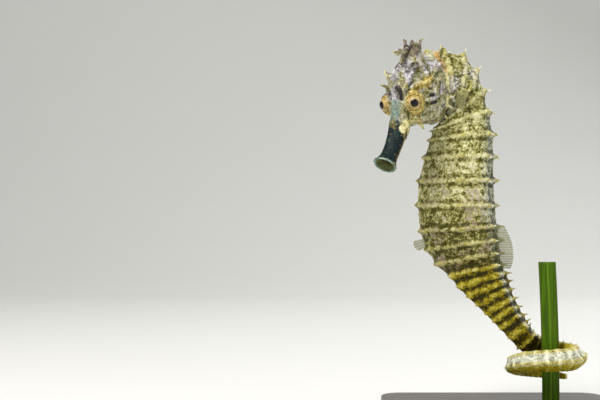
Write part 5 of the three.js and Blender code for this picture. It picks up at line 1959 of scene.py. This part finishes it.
@dataclass
class Studio:
    """The floor, the soft lights and the camera."""

    camera_at: tuple = (-52.0, -368.0, 58.02)
    lens: float = 85.0
    floor_reach: float = 1.6

    def floor(self) -> bpy.types.Object:
        """A floor that curves up into a backdrop far behind."""
        profile = [(-self.floor_reach, 0.0), (0.5, 0.0)]
        for a in np.linspace(0, math.pi / 2, 9):
            profile.append((0.5 + 0.35 * math.sin(a), 0.35 - 0.35 * math.cos(a)))
        profile.append((0.85, 1.2))
        points = [(x, y, z) for y, z in profile for x in (-self.floor_reach, self.floor_reach)]
        faces = [(2 * i, 2 * i + 1, 2 * i + 3, 2 * i + 2) for i in range(len(profile) - 1)]
        mesh = bpy.data.meshes.new("studio_floor")
        mesh.from_pydata(points, [], faces)
        mesh.shade_smooth()
        mesh.materials.append(FloorFinish().material())
        floor = new_object("studio_floor", mesh)
        return floor

    @staticmethod
    def light(name: str, at: tuple, aim: tuple, size: float, power: float, tone: Colour = (1, 1, 1)) -> None:
        """One square area light, aimed at a point, in metres and watts."""
        lamp = bpy.data.lights.new(name, "AREA")
        lamp.size, lamp.energy, lamp.color = size, power, tone
        thing = bpy.data.objects.new(name, lamp)
        bpy.context.scene.collection.objects.link(thing)
        thing.location = at
        thing.rotation_euler = (Vector(aim) - Vector(at)).to_track_quat("-Z", "Y").to_euler()

    def build(self) -> None:
        """Sets up the studio."""
        self.floor()
        aim = (0.0, 0.0, 0.06)
        self.light("key", (-0.28, -0.34, 0.62), aim, 0.30, 5.5, (1.0, 0.98, 0.94))
        self.light("fill", (0.5, -0.5, 0.25), aim, 0.6, 1.7, (0.96, 0.98, 1.0))
        self.light("rim", (0.3, 0.4, 0.5), aim, 0.35, 2.2)
        world = bpy.data.worlds.new("studio")
        world.use_nodes = True
        world.node_tree.nodes["Background"].inputs["Color"].default_value = (0.9, 0.93, 0.96, 1)
        world.node_tree.nodes["Background"].inputs["Strength"].default_value = 0.18
        bpy.context.scene.world = world
        bpy.context.scene.view_settings.view_transform = "Standard"
        lens = bpy.data.cameras.new("camera")
        lens.lens, lens.sensor_width, lens.clip_start = self.lens, 36.0, 0.01
        camera = bpy.data.objects.new("camera", lens)
        bpy.context.scene.collection.objects.link(camera)
        camera.location = Vector(self.camera_at) * MM
        camera.rotation_euler = (math.pi / 2, 0, 0)
        bpy.context.scene.camera = camera


# ---------------------------------------------------------------- assembly


FLESH = (
    "neck", "trunk_upper", "trunk_middle", "trunk_lower", "tail_base", "tail_shank", "tail_bend",
    "tail_coil_back", "tail_coil_right", "tail_coil_front", "tail_coil_left", "tail_end", "tail_tip",
    "head", "snout", "coronet",
)


def main() -> None:
    """Builds and dresses every piece, and sets up the studio."""
    logging.basicConfig(level=logging.INFO, format="%(name)s: %(message)s")
    run = BodyRun()
    place, eye_sizes = HeadFrame(), EyeSizes()
    ringed = RingedSkin(run)
    skin_material = SkinFinish().material()
    skin = Skin(run, ringed, Head(place, eye_sizes)).build()
    finish_piece(skin, "skin_body", skin_material, *FLESH)
    LOG.info("skin: %d triangles", sum(len(face.vertices) - 2 for face in skin.data.polygons))
    granules = GranuleField().build(skin, skin_material)
    finish_piece(granules, "skin_body", None)
    LOG.info("granules: %d faces", len(granules.data.polygons))
    roots, ways, lengths, rings = ringed.spine_roots()
    spines = SpineField().build("ridge_spines", roots, ways, lengths, 0.24 + 0.24 * lengths, rings, skin_material)
    finish_piece(spines, "skin_body", None)
    LOG.info("spines: %d", len(roots))
    eye_material = EyeFinish().material()
    for side in Side:
        eye = Eye(place, eye_sizes, side).build()
        finish_piece(eye, "eye", eye_material, f"eye_{side.name.lower()}")
    fins, fin_material = Fins(run), FinFinish().material()
    finish_piece(fins.median("dorsal_web", fins.dorsal, 1), "fin", fin_material, "dorsal_fin")
    finish_piece(fins.median("anal_web", fins.anal, -1), "fin", fin_material, "anal_fin")
    for side in Side:
        finish_piece(fins.chest(side), "fin", fin_material, f"pectoral_fin_{side.name.lower()}")
    finish_piece(Perch().build(), "blade", LeafFinish().material(), "perch_blade")
    stand = Stand()
    finish_piece(stand.slab(), "stand_wood", WoodFinish().material(), "stand_base")
    finish_piece(stand.rod(), "stand_steel", SteelFinish().material(), "stand_rod")
    Studio().build()


if __name__ == "__main__":
    main()
